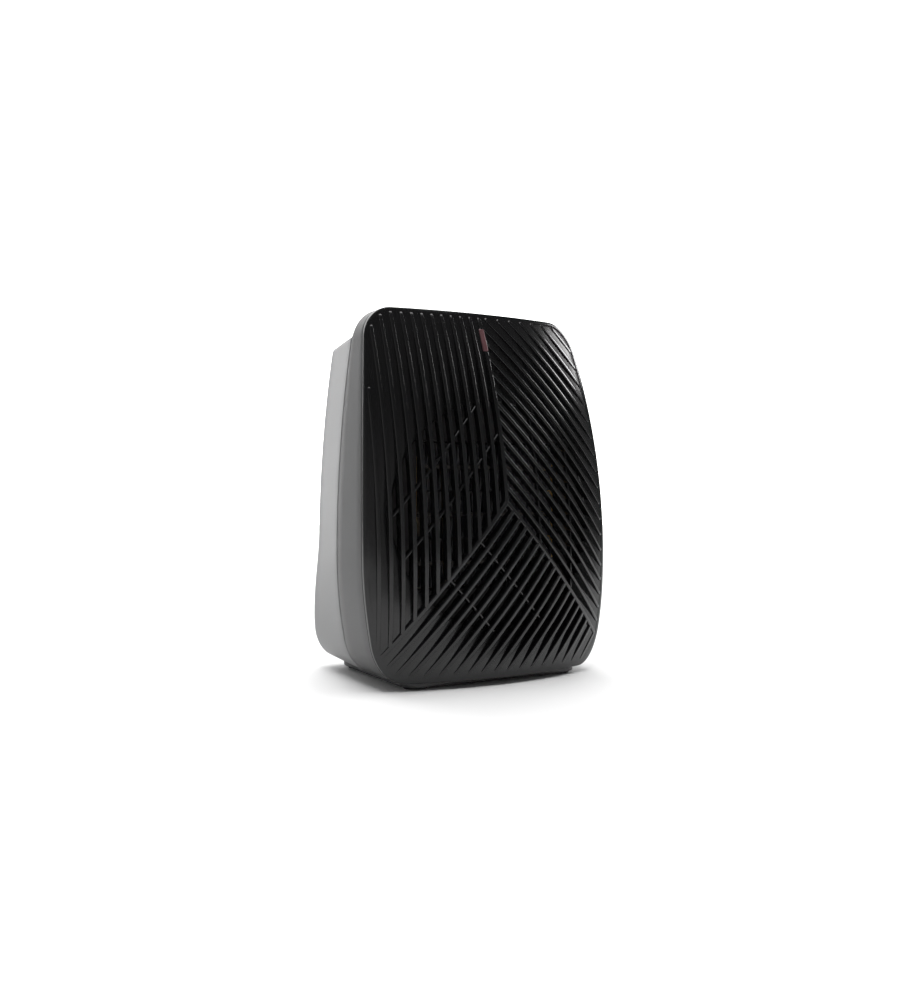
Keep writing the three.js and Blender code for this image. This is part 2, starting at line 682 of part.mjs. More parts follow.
// Three arms carry the motor in the back of the fan shroud.
function makeMotorBracket(bolts) {
  const [front, back] = [SHROUD_REAR_Y + GAP, SHROUD_REAR_Y + GAP + 3];
  let bracket = toSolid(slabY(circlePoints(0, DUCT_Z, 29, 36), front, back));
  const arms = 3;
  for (let i = 0; i < arms; i++) {
    const arm = box(20, 87, front, back, -5, 5);
    arm.rotateY(-Math.PI / 2 - (2 * Math.PI * i) / arms).translate(0, 0, DUCT_Z);
    bracket = bracket.add(toSolid(arm));
  }
  bracket = bracket.subtract(toSolid(cylinderY(0, DUCT_Z, 5.8, 40, 60, 20)));
  for (const x of bolts) {
    bracket = bracket.add(toSolid(cylinderY(x, DUCT_Z, 4.5, STATOR.y1 + GAP, back, 16)));
    bracket = bracket.subtract(toSolid(cylinderY(x, DUCT_Z, 2, 40, 60, 12)));
  }
  addPart("motor_bracket", bracket, darkSteel);
}

// A pan-head screw along Y with its head at the back.
function screwSolid(x, z, headY, length, radius, headRadius) {
  return turnedY(x, z, [
    [0, headY - length],
    [radius * 0.5, headY - length],
    [radius, headY - length + 2],
    [radius, headY],
    [headRadius, headY],
    [headRadius, headY + 1.2],
    [headRadius * 0.75, headY + 2.1],
    [0, headY + 2.1],
  ], 10);
}

function makeHousingScrews() {
  SCREW_PLACES.forEach(([x, z], i) => {
    addPart(`housing_screw_${i + 1}`, screwSolid(x, z, 70.8, 20, 1.7, 3.8), steel);
  });
}

// ---- heating element ----
function makeHeaterFrame() {
  const halfX = HEATER.width / 2 + 3;
  const halfZ = HEATER.height / 2 + 1.5;
  const rectangle = (grow) => [
    [-halfX - grow, DUCT_Z - halfZ - grow],
    [halfX + grow, DUCT_Z - halfZ - grow],
    [halfX + grow, DUCT_Z + halfZ + grow],
    [-halfX - grow, DUCT_Z + halfZ + grow],
  ];
  const flangeY = -49;
  const disc = slabY(circlePoints(0, DUCT_Z, SHROUD_INNER - 0.8, 48), flangeY, flangeY + 2.5, [rectangle(0)]);
  const sleeve = slabY(rectangle(2), flangeY, -29, [rectangle(0)]);
  addPart("heater_frame", toSolid(disc).add(toSolid(sleeve)), heatPlastic);
}

function finPoints(z0, height) {
  const folds = 20;
  const skin = 2;
  const halfX = HEATER.width / 2 - 1.5;
  const path = Array.from({ length: folds + 1 }, (_, i) => [
    -halfX + (2 * halfX * i) / folds,
    i % 2 === 0 ? z0 : z0 + height - skin,
  ]);
  return [...path, ...path.map(([x, z]) => [x, z + skin]).reverse()];
}

function makeElements() {
  const { width, depth, frontY: y0, rows } = HEATER;
  const y1 = y0 + depth;
  const pitch = HEATER.height / rows;
  const barHeight = 2.4;
  const finHeight = (pitch - barHeight - 4 * GAP) / 2;
  for (let row = 0; row < rows; row++) {
    const middle = DUCT_Z + (row - (rows - 1) / 2) * pitch;
    const bar = box(-width / 2, width / 2, y0, y1, middle - barHeight / 2, middle + barHeight / 2);
    addPart(`ptc_bar_${row + 1}`, bar, ceramic);
    const upper = middle + barHeight / 2 + GAP;
    const lower = middle - barHeight / 2 - GAP - finHeight;
    addPart(`heat_fin_${2 * row + 1}`, slabY(finPoints(lower, finHeight), y0, y1), aluminium);
    addPart(`heat_fin_${2 * row + 2}`, slabY(finPoints(upper, finHeight), y0, y1), aluminium);
  }
  for (const [name, side] of [["left", -1], ["right", 1]]) {
    const inner = width / 2 + GAP;
    const strip = box(side > 0 ? inner : -inner - 1, side > 0 ? inner + 1 : -inner, y0 + 2, y1 - 2, 80, 168);
    const tab = box(side > 0 ? inner : -inner - 1, side > 0 ? inner + 1 : -inner, y1 - 3, y1 + 12, 120, 128);
    addPart(`element_terminal_${name}`, toSolid(strip).add(toSolid(tab)), brass);
  }
  const cutoutZ = DUCT_Z + HEATER.height / 2 + 14;
  addPart("thermal_cutout", turnedY(0, cutoutZ, [
    [0, -46.2],
    [8, -46.2],
    [8, -42],
    [5.5, -42],
    [5.5, -37],
    [0, -37],
  ], 24), steel);
  const fuse = new THREE.CapsuleGeometry(2, 12, 2, 10).rotateZ(Math.PI / 2).translate(38, -44, cutoutZ - 7);
  addPart("thermal_fuse", fuse, paleNylon);
}

// ---- tip-over switch ----
const COLLAR = { z0: 16.4, z1: 18.4, radius: 6.5 };
const BRACKET_Z = 29.8;
const LEVER_Z = 39;
const LEVER_ARM = 12;

function makeTipSwitch() {
  const { x, y } = TIP_SWITCH;
  addPart("tip_plunger", turnedZ(x, y, [
    [0, 0],
    [3, 0],
    [4, 1],
    [4, COLLAR.z0],
    [COLLAR.radius, COLLAR.z0],
    [COLLAR.radius, COLLAR.z1],
    [2.4, COLLAR.z1],
    [2.4, LEVER_Z - 2],
    [0.8, LEVER_Z - 0.4],
    [0, LEVER_Z - 0.4],
  ], 14), paleNylon);

  class Helix extends THREE.Curve {
    getPoint(t, target = new THREE.Vector3()) {
      const turns = 4;
      const [low, high] = [COLLAR.z1 + 1, BRACKET_Z - 1];
      const angle = 2 * Math.PI * turns * t;
      return target.set(x + 4.4 * Math.cos(angle), y + 4.4 * Math.sin(angle), low + (high - low) * t);
    }
  }
  const wire = new THREE.Shape();
  wire.absarc(0, 0, 0.55, 0, 2 * Math.PI);
  const spring = new THREE.ExtrudeGeometry(wire, { steps: 36, curveSegments: 3, extrudePath: new Helix() });
  addPart("tip_spring", outward(spring), steel);

  const legs = [x - 14, x + 14];
  let bracket = toSolid(box(legs[0], legs[1], y - 9, y + 9, BRACKET_Z, BRACKET_Z + 2));
  for (const leg of legs) {
    bracket = bracket.add(toSolid(box(leg - 1, leg + 1, y - 9, y + 9, 12, BRACKET_Z + 2)));
  }
  bracket = bracket.subtract(toSolid(cylinderZ(x, y, 2.9, 25, 35, 20)));
  const upright = box(legs[1] - 1, legs[1] + 1, y - 5, y + 5, BRACKET_Z, LEVER_Z + 11);
  bracket = bracket.add(toSolid(upright));
  addPart("tip_switch_bracket", bracket, steel);

  const pivotX = x + LEVER_ARM;
  const reach = LEVER_ARM + 2;
  addPart("tip_switch_lever", box(pivotX - reach, pivotX, y - 2, y + 2, LEVER_Z, LEVER_Z + 0.8), steel);
  const housing = box(x - 8, legs[1] - 1 - GAP, y - 4, y + 4, LEVER_Z + 1.2, LEVER_Z + 11);
  addPart("tip_switch_body", housing, baseBlack);
}

// ---- mains entry ----
function makeMainsEntry() {
  const blockBody = toSolid(box(-58, -22, 30, 46, 12.6, 26));
  let block = blockBody;
  for (const x of [-52, -40, -28]) {
    block = block.subtract(toSolid(cylinderZ(x, 38, 2.6, 17, 27, 14)));
  }
  addPart("terminal_block", block, paleNylon);
  addPart("cable_gland", turnedY(GLAND.x, GLAND.z, [
    [GLAND.bore, 68],
    [7.4, 68],
    [7.4, REAR_Y - WALL - GAP],
    [5.5, REAR_Y - WALL - GAP],
    [5.5, REAR_Y + GAP],
    [7.4, REAR_Y + GAP],
    [6.8, REAR_Y + 2],
    [GLAND.bore, REAR_Y + 2],
  ], 20), softRubber);
}

makeFrontGrille();
makeFrontBezel();
makeRearHousing();
makeIntakeGrille();
makeBasePlate();
makeFeet();
makeControls();
makeIndicator();
makeShroud();
makeImpeller();
makeMotor();
makeHeaterFrame();
makeElements();
makeTipSwitch();
makeMainsEntry();
makeHousingScrews();

export default heater;
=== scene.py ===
"""A ceramic space heater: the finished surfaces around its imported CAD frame. Lengths in this script are millimetres
until a mesh is made, X to the right, Y to the back, Z up, with the front facing -Y."""

import json
import math

import bmesh
import bpy
import numpy as np
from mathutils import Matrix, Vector


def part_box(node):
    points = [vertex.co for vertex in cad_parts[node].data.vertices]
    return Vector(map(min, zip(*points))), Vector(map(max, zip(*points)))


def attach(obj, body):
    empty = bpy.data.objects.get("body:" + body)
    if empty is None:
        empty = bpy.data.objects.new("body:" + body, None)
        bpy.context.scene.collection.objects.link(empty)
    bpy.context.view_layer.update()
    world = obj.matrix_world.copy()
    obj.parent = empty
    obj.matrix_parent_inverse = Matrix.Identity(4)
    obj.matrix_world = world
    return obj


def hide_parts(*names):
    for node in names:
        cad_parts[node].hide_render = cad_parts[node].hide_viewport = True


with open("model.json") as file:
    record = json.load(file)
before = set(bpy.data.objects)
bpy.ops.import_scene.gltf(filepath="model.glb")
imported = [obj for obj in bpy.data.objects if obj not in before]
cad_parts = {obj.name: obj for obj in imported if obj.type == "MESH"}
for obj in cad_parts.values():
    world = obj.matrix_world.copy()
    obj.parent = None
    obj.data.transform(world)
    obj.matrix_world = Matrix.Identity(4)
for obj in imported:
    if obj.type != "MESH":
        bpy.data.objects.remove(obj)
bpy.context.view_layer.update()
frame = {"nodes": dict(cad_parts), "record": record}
NODES = frame["nodes"]
MM = 0.001

# ---- driving dimensions, as in the CAD source ----
BODY_TOP, BODY_BOTTOM = 276.8, 5.5
HALF_WIDTH, WIDEST_Z = 104.7, 94.0
SIDE_INSET_TOP, SIDE_INSET_BOTTOM = 15.3, 13.6
TOP_CORNER, BOTTOM_CORNER = (23.5, 29.0), (25.0, 38.0)
FRONT_Y, SEAM_Y, REAR_Y = -76.0, -4.0, 74.0
DECK_Z, WALL, GAP = 256.5, 2.5, 0.3
LEAN, LEAN_FROM_Z, BOW, BOW_EDGE = 38.6, 87.7, 0.002, 2.1e-8
FLATTEN, FLATTEN_HALF_WIDTH = 6.5, 95.0
TUCK, TUCK_HEIGHT = 6.9, 70.0
TAPER_END_Y, TAPER_SIDE, TAPER_BOTTOM, REAR_ROUND = 62.5, 14.0, 2.5, 10.0
PLATE = 3.0
SEAM_GROOVE = 0.7
JUNCTION_Z, LEFT_ANGLE, RIGHT_ANGLE = 133.6, math.radians(49.5), math.radians(48.0)
UPRIGHT_PITCH, DIAGONAL_PITCH = 7.9, 8.15
DUCT_Z, OPEN_RADIUS, INTAKE_RADIUS = 124.0, 84.0, 70.0
SHROUD_INNER, SHROUD_WALL, SHROUD_FRONT_Y, SHROUD_REAR_Y = 86.0, 2.5, -50.7, 50.0
HEATER_WIDTH, HEATER_HEIGHT, HEATER_DEPTH, HEATER_FRONT_Y = 118.0, 106.0, 14.0, -46.0
KNOB_X, KNOB_Y, KNOB_RADIUS, KNOB_HEIGHT = 36.0, 30.0, 15.0, 14.0
TIP_X, TIP_Y = 62.0, 24.0
GLAND_X, GLAND_Z, GLAND_BORE = -55.0, 34.0, 4.0
SCREW_PLACES = [(-76.0, 62.0), (76.0, 62.0), (-60.0, 236.0), (60.0, 236.0)]
LAMP = {"x": 2.1, "z0": 246.5, "z1": 264.5}

# ---- details that only the finished surfaces have ----
RIB_HALF, EDGE_RIB_HALF, BAR_HALF = 1.35, 1.5, 0.8
RIB_ROUND = 0.6
MARGIN, NOSE_MARGIN = 2.3, 3.1
FLOOR_LIP, FLOOR_LIP_RUN = 0.4, 1.8
FLOOR_DEPTH, FLOOR_SKIN = 6.5, 1.2
BAR_RECESS = 2.4
LAMP_CLEARANCE = 1.3


# ---- materials ----
def shade(slot, color, roughness, metallic=0.0, tint=0.05, spread=0.04, grain=900.0, relief=0.05,
          coat=0.0, coat_roughness=0.05, specular=0.5, transmission=0.0, glow=0.0, brushed=0.0):
    """A moulded or metal finish: slow colour and gloss drift, and a fine surface grain with real relief."""
    m = bpy.data.materials.new(slot)
    m.use_nodes = True
    nodes, links = m.node_tree.nodes, m.node_tree.links
    shader = nodes["Principled BSDF"]
    place = nodes.new("ShaderNodeTexCoord")
    stretch = nodes.new("ShaderNodeMapping")
    stretch.inputs["Scale"].default_value = (1.0, 1.0, 1.0 + brushed)
    links.new(place.outputs["Object"], stretch.inputs["Vector"])
    drift = nodes.new("ShaderNodeTexNoise")
    drift.inputs["Scale"].default_value = 22.0
    drift.inputs["Detail"].default_value = 3.0
    links.new(stretch.outputs["Vector"], drift.inputs["Vector"])
    mix = nodes.new("ShaderNodeMix")
    mix.data_type = "RGBA"
    mix.inputs["A"].default_value = (*[c * (1 - tint) for c in color], 1)
    mix.inputs["B"].default_value = (*[min(1.0, c * (1 + tint)) for c in color], 1)
    links.new(drift.outputs["Fac"], mix.inputs["Factor"])
    links.new(mix.outputs["Result"], shader.inputs["Base Color"])
    fine = nodes.new("ShaderNodeTexNoise")
    fine.inputs["Scale"].default_value = grain
    fine.inputs["Detail"].default_value = 4.0
    fine.inputs["Roughness"].default_value = 0.6
    links.new(stretch.outputs["Vector"], fine.inputs["Vector"])
    gloss = nodes.new("ShaderNodeMapRange")
    gloss.inputs["To Min"].default_value = max(0.02, roughness - spread)
    gloss.inputs["To Max"].default_value = min(1.0, roughness + spread)
    links.new(fine.outputs["Fac"], gloss.inputs["Value"])
    links.new(gloss.outputs["Result"], shader.inputs["Roughness"])
    bump = nodes.new("ShaderNodeBump")
    bump.inputs["Strength"].default_value = relief
    bump.inputs["Distance"].default_value = 0.0002
    links.new(fine.outputs["Fac"], bump.inputs["Height"])
    links.new(bump.outputs["Normal"], shader.inputs["Normal"])
    shader.inputs["Metallic"].default_value = metallic
    shader.inputs["Specular IOR Level"].default_value = specular
    shader.inputs["Coat Weight"].default_value = coat
    shader.inputs["Coat Roughness"].default_value = coat_roughness
    shader.inputs["Transmission Weight"].default_value = transmission
    if glow:
        shader.inputs["Emission Color"].default_value = (*color, 1)
        shader.inputs["Emission Strength"].default_value = glow
    return m


MATERIALS = {
    "gloss_front": shade("gloss_front", (0.0045, 0.0045, 0.005), 0.17, tint=0.1, spread=0.03, grain=260, relief=0.02),
    "bezel_grey": shade("bezel_grey", (0.038, 0.0382, 0.039), 0.42, tint=0.03, spread=0.06, grain=2600, relief=0.16),
    "shell_grey": shade("shell_grey", (0.182, 0.183, 0.185), 0.46, tint=0.02, spread=0.06, grain=2400, relief=0.18),
    "dark_plastic": shade("dark_plastic", (0.012, 0.012, 0.0125), 0.55, tint=0.1, grain=2200, relief=0.25),
    "rubber": shade("rubber", (0.01, 0.01, 0.01), 0.85, tint=0.15, spread=0.08, grain=1500, relief=0.3),
    "red_lens": shade("red_lens", (0.11, 0.05, 0.055), 0.2, tint=0.12, grain=500, relief=0.05, coat=0.3),
    "lamp_glow": shade("lamp_glow", (0.8, 0.25, 0.08), 0.25, tint=0.05, glow=0.3),
    "circuit_board": shade("circuit_board", (0.012, 0.08, 0.03), 0.5, tint=0.25, grain=1200, relief=0.1),
    "knob_black": shade("knob_black", (0.014, 0.014, 0.015), 0.33, tint=0.08, grain=1900, relief=0.1),
    "steel": shade("steel", (0.5, 0.51, 0.52), 0.3, metallic=1.0, tint=0.08, spread=0.1, grain=1400, relief=0.08,
                   brushed=9),
    "dark_steel": shade("dark_steel", (0.12, 0.125, 0.13), 0.5, metallic=0.8, tint=0.2, spread=0.12, grain=1300,
                        relief=0.15),
    "pale_nylon": shade("pale_nylon", (0.72, 0.69, 0.6), 0.48, tint=0.04, grain=1800, relief=0.1),
    # painted shade: the ceramic's colour is darkened to stand for the shade deep inside the duct behind the grille
    "ceramic": shade("ceramic", (0.055, 0.05, 0.045), 0.8, tint=0.12, grain=2600, relief=0.3),
    "heat_plastic": shade("heat_plastic", (0.011, 0.0105, 0.01), 0.6, tint=0.15, grain=2000, relief=0.25),
    "copper": shade("copper", (0.42, 0.13, 0.045), 0.35, metallic=0.9, tint=0.2, grain=2200, relief=0.2),
    "bronze": shade("bronze", (0.4, 0.22, 0.08), 0.45, metallic=0.9, tint=0.15, grain=2400, relief=0.2),
    # painted shade: the aluminium's colour is darkened well below bare metal to stand for the shade inside the duct
    "aluminium": shade("aluminium", (0.16, 0.16, 0.165), 0.5, metallic=0.9, tint=0.2, spread=0.1, grain=1500,
                       relief=0.12),
    "brass": shade("brass", (0.55, 0.38, 0.13), 0.3, metallic=1.0, tint=0.12, grain=1500, relief=0.08),
}


# ---- meshes ----
class Solid:
    """Points and faces of one piece, gathered from several closed bodies."""

    def __init__(self):
        self.points, self.faces = [], []

    def add(self, points, faces):
        start = len(self.points)
        self.points.extend(tuple(float(v) for v in p) for p in points)
        self.faces.extend(tuple(start + i for i in f) for f in faces)
        return self

    def loft(self, rings, joined=False):
        """A closed body through rings of equal count: last joined to first, or closed by end caps."""
        count = len(rings[0])
        points = [p for ring in rings for p in ring]
        faces = []
        for r in range(len(rings) if joined else len(rings) - 1):
            a, b = r * count, ((r + 1) % len(rings)) * count
            faces.extend((a + i, a + (i + 1) % count, b + (i + 1) % count, b + i) for i in range(count))
        if not joined:
            faces.append(tuple(range(count - 1, -1, -1)))
            faces.append(tuple((len(rings) - 1) * count + i for i in range(count)))
        return self.add(points, faces)

    def turned(self, profile, place, axis="Z", sides=72):
        """A closed [radius, height] profile turned about an axis; points on the axis close the body there."""
        angles = [2 * math.pi * i / sides for i in range(sides)]
        points, rows = [], []
        for radius, height in profile:
            if radius < 1e-6:
                rows.append([len(points)] * sides)
                points.append((0.0, 0.0, height))
            else:
                rows.append(list(range(len(points), len(points) + sides)))
                points.extend((radius * math.cos(a), radius * math.sin(a), height) for a in angles)
        faces = []
        hollow = profile[0][0] > 1e-6
        for r in range(len(rows) if hollow else len(rows) - 1):
            a, b = rows[r], rows[(r + 1) % len(rows)]
            for i in range(sides):
                j = (i + 1) % sides
                face = [a[i], a[j], b[j], b[i]]
                kept = [v for k, v in enumerate(face) if v != face[k - 1]]
                if len(kept) > 2:
                    faces.append(tuple(kept))
        x, y, z = place
        if axis == "Y":
            points = [(x + p, y + h, z - q) for p, q, h in points]
        else:
            points = [(x + p, y + q, z + h) for p, q, h in points]
        return self.add(points, faces)

    def prism(self, outline, y0, y1):
        """An [x, z] outline made thick along Y."""
        return self.loft([[(x, y0, z) for x, z in outline], [(x, y1, z) for x, z in outline]])

    def box(self, x0, x1, y0, y1, z0, z1):
        return self.prism([(x0, z0), (x1, z0), (x1, z1), (x0, z1)], y0, y1)


def closed_mesh(name, solid):
    """A solid as a mesh in metres, with its faces turned outward."""
    mesh = bpy.data.meshes.new(name)
    mesh.from_pydata([tuple(v * MM for v in p) for p in solid.points], [], solid.faces)
    bm = bmesh.new()
    bm.from_mesh(mesh)
    bmesh.ops.recalc_face_normals(bm, faces=bm.faces)
    bm.to_mesh(mesh)
    bm.free()
    return mesh


def piece(name, solid, slot, body="housing", stands_for=(), smooth_angle=40.0):
    """Makes a named piece that rides on a body, stands for CAD nodes and takes its finish from a slot."""
    mesh = closed_mesh(name, solid)
    mesh.validate()
    for polygon in mesh.polygons:
        polygon.use_smooth = True
    mesh.set_sharp_from_angle(angle=math.radians(smooth_angle))
    o = bpy.data.objects.new(name, mesh)
    bpy.context.scene.collection.objects.link(o)
    mesh.materials.append(MATERIALS[slot])
    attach(o, body)
    if stands_for:
        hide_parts(*stands_for)
    return o


def add_bevel(o, width, segments):
    bevel = o.modifiers.new("rounded_edges", "BEVEL")
    bevel.width = width * MM
    bevel.segments = segments
    bevel.limit_method = "ANGLE"
    bevel.angle_limit = math.radians(38)
    bevel.use_clamp_overlap = True
    bevel.harden_normals = True


def apply_modifiers(o):
    dg = bpy.context.evaluated_depsgraph_get()
    made = bpy.data.meshes.new_from_object(o.evaluated_get(dg))
    o.modifiers.clear()
    o.data = made


def cut(o, cutter, operation="DIFFERENCE"):
    """Cuts a solid out of a piece, or joins it on."""
    tool = bpy.data.objects.new("cutter", closed_mesh("cutter", cutter))
    bpy.context.scene.collection.objects.link(tool)
    boolean = o.modifiers.new("cut", "BOOLEAN")
    boolean.object = tool
    boolean.operation = operation
    boolean.solver = "EXACT"
    apply_modifiers(o)
    bpy.data.objects.remove(tool)


def finish_shading(o, angle):
    for polygon in o.data.polygons:
        polygon.use_smooth = True
    o.data.set_sharp_from_angle(angle=math.radians(angle))


# ---- the body's outline and front ----
def side_x(z):
    above = (z - WIDEST_Z) / (BODY_TOP - WIDEST_Z)
    below = (WIDEST_Z - z) / WIDEST_Z
    return HALF_WIDTH - (SIDE_INSET_TOP * above * above if z > WIDEST_Z else SIDE_INSET_BOTTOM * below * below)


def side_slope(z):
    if z > WIDEST_Z:
        return 2 * SIDE_INSET_TOP * (z - WIDEST_Z) / (BODY_TOP - WIDEST_Z) ** 2
    return 2 * SIDE_INSET_BOTTOM * (WIDEST_Z - z) / WIDEST_Z**2


def join_side(corner, centre_z, to_flat):
    """Where a corner's ellipse meets the side curve along its tangent, as (angle from the level end, z, centre x)."""
    z = centre_z
    for _ in range(12):
        angle = math.atan2(corner[0], side_slope(z) * corner[1])
        z = centre_z + to_flat * corner[1] * math.cos(angle)
    return angle, z, side_x(z) - corner[0] * math.sin(angle)


def half_outline(flat=26, corner=30, side=44):
    """The right half from the bottom centre to the top centre, as (x, z)."""
    low_z, high_z = BODY_BOTTOM + BOTTOM_CORNER[1], BODY_TOP - TOP_CORNER[1]
    low_angle, side_low, low_x = join_side(BOTTOM_CORNER, low_z, -1)
    high_angle, side_high, high_x = join_side(TOP_CORNER, high_z, 1)
    points = [(low_x * i / flat, BODY_BOTTOM) for i in range(flat)]
    for i in range(corner):
        a = low_angle * i / corner
        points.append((low_x + BOTTOM_CORNER[0] * math.sin(a), low_z - BOTTOM_CORNER[1] * math.cos(a)))
    for i in range(side):
        z = side_low + (side_high - side_low) * i / side
        points.append((side_x(z), z))
    for i in range(corner + 1):
        a = high_angle * (1 - i / corner)
        points.append((high_x + TOP_CORNER[0] * math.sin(a), high_z + TOP_CORNER[1] * math.cos(a)))
    points += [(high_x * i / flat, BODY_TOP) for i in range(flat - 1, -1, -1)]
    return points


RIGHT_HALF = half_outline()
OUTLINE = np.array(RIGHT_HALF + [(-x, z) for x, z in RIGHT_HALF[-2:0:-1]])


def normals_of(outline):
    along = np.roll(outline, -1, 0) - np.roll(outline, 1, 0)
    out = np.stack([along[:, 1], -along[:, 0]], 1)
    return out / np.linalg.norm(out, axis=1)[:, None]


OUTWARD = normals_of(OUTLINE)


def inset(distance):
    """The outline moved in along its own normals; the distance may be one number or one for each point."""
    return OUTLINE - OUTWARD * np.broadcast_to(np.asarray(distance, float), (len(OUTLINE),))[:, None]


def front_y(x, z):
    x, z = np.asarray(x, float), np.asarray(z, float)
    lean = np.maximum(0, (z - LEAN_FROM_Z) / (BODY_TOP - LEAN_FROM_Z))
    tuck = np.maximum(0, 1 - z / TUCK_HEIGHT)
    flatter = FLATTEN * (1 - (x / FLATTEN_HALF_WIDTH) ** 2) * lean**2
    return FRONT_Y + LEAN * lean**2 + BOW * x**2 + BOW_EDGE * x**4 + flatter + TUCK * tuck**2


def smoothstep(t):
    t = np.clip(t, 0, 1)
    return t * t * (3 - 2 * t)


# The dished floor behind the ribs: flush with the front at a margin inside the outline, deepest at the open circle.
MARGIN_LINE = inset(MARGIN + 0.9 * np.clip(-OUTWARD[:, 1], 0, 1))
_from_centre = MARGIN_LINE - np.array([0, DUCT_Z])
_order = np.argsort(np.arctan2(_from_centre[:, 1], _from_centre[:, 0]))
_angles = np.arctan2(_from_centre[:, 1], _from_centre[:, 0])[_order]
_radii = np.linalg.norm(_from_centre, axis=1)[_order]


def margin_radius(angle):
    return np.interp(angle, _angles, _radii, period=2 * math.pi)


def circle_depth(angle):
    x, z = OPEN_RADIUS * np.cos(angle), DUCT_Z + OPEN_RADIUS * np.sin(angle)
    return np.minimum(FLOOR_DEPTH, SHROUD_FRONT_Y - 0.6 - FLOOR_SKIN - front_y(x, z))


def floor_depth(x, z):
    """How deep the floor lies behind the front, for points inside the outline."""
    x, z = np.asarray(x, float), np.asarray(z, float)
    radius, angle = np.hypot(x, z - DUCT_Z), np.arctan2(z - DUCT_Z, x)
    rim = margin_radius(angle)
    share = np.clip((rim - radius) / (rim - OPEN_RADIUS), 0, 1)
    deep = FLOOR_LIP * smoothstep((z - 10.0) / 30.0)
    lip = deep * smoothstep((rim - radius) / FLOOR_LIP_RUN)
    return lip + (circle_depth(angle) - deep) * share**1.15


def on_front(points, depth):
    points = np.asarray(points, float)
    y = front_y(points[:, 0], points[:, 1]) + depth
    return np.stack([points[:, 0], y, points[:, 1]], 1)


def make_front_panel():
    solid = Solid()
    round_edge = 0.5
    rings = [on_front(inset(0.5), PLATE), on_front(inset(0), PLATE - 0.5)]
    for step in range(7):
        a = math.pi / 2 * step / 6
        rings.append(on_front(inset(round_edge * (1 - math.cos(a))), round_edge * (1 - math.sin(a))))
    rings.append(on_front(inset(1.5), 0))
    centre = np.array([0, DUCT_Z])
    away = MARGIN_LINE - centre
    rim = np.linalg.norm(away, axis=1)
    toward = away / rim[:, None]
    angle = np.arctan2(toward[:, 1], toward[:, 0])

    def at_radius(radius, extra=0.0, behind=None):
        points = centre + toward * np.broadcast_to(radius, rim.shape)[:, None]
        depth = floor_depth(points[:, 0], points[:, 1]) if behind is None else behind
        return on_front(points, depth + extra)

    lips = [0, 0.3, 0.6, 0.9, 1.2, 1.5, 1.8]
    rings += [at_radius(rim - lip) for lip in lips]
    inner = OPEN_RADIUS + 0.8
    rings += [at_radius((rim - 1.8) + (inner - rim + 1.8) * t) for t in np.linspace(0, 1, 18)[1:]]
    edge = circle_depth(angle)
    for step in range(1, 5):
        a = math.pi / 2 * step / 4
        rings.append(at_radius(OPEN_RADIUS + 0.8 * (1 - math.sin(a)), behind=edge + 0.8 * (1 - math.cos(a))))
    rings.append(at_radius(OPEN_RADIUS, behind=edge + FLOOR_SKIN))
    rings.append(at_radius(OPEN_RADIUS + 1.2, behind=edge + FLOOR_SKIN))
    rings += [at_radius(OPEN_RADIUS + 1.2 + (rim - 3 - OPEN_RADIUS - 1.2) * t, FLOOR_SKIN) for t in (0.15, 0.4, 0.7, 1)]
    solid.loft(rings, joined=True)
    return piece("front_panel", solid, "gloss_front", stands_for=["front_grille"], smooth_angle=50)


# ---- ribs ----
LEFT_LINE = np.array([-math.cos(LEFT_ANGLE), -math.sin(LEFT_ANGLE)])
RIGHT_LINE = np.array([math.cos(RIGHT_ANGLE), -math.sin(RIGHT_ANGLE)])
ABOVE_LEFT = np.array([-math.sin(LEFT_ANGLE), math.cos(LEFT_ANGLE)])
ABOVE_RIGHT = np.array([math.sin(RIGHT_ANGLE), math.cos(RIGHT_ANGLE)])
UP = np.array([0.0, 1.0])
JUNCTION = np.array([0.0, JUNCTION_Z])
NOSE_LINE = inset(NOSE_MARGIN + 1.0 * np.clip(-OUTWARD[:, 1], 0, 1))


def clip_line(point, along, walls=(), within=None):
    """The stretch of a line inside the nose outline and beyond each wall (normal, offset); a wall end is joined,
    an outline end is free. Gives (start, end, start is free, end is free) or None."""
    low, high, free_low, free_high = -1e3, 1e3, True, True
    limits = [(-n, -(n @ p), True) for p, n in zip(NOSE_LINE, normals_of(NOSE_LINE))]
    limits += [(n, offset, False) for n, offset in walls]
    if within is not None:
        d = point - np.array([0, DUCT_Z])
        b, c = d @ along, d @ d - within * within
        if b * b - c <= 0:
            return None
        low, high = -b - math.sqrt(b * b - c), -b + math.sqrt(b * b - c)
    for normal, offset, free in limits:
        slope, here = normal @ along, normal @ point - offset
        if abs(slope) < 1e-9:
            if here < 0:
                return None
            continue
        t = -here / slope
        if slope > 0 and t > low:
            low, free_low = t, free
        if slope < 0 and t < high:
            high, free_high = t, free
    if high - low < 2.5:
        return None
    return point + along * low, point + along * high, free_low, free_high


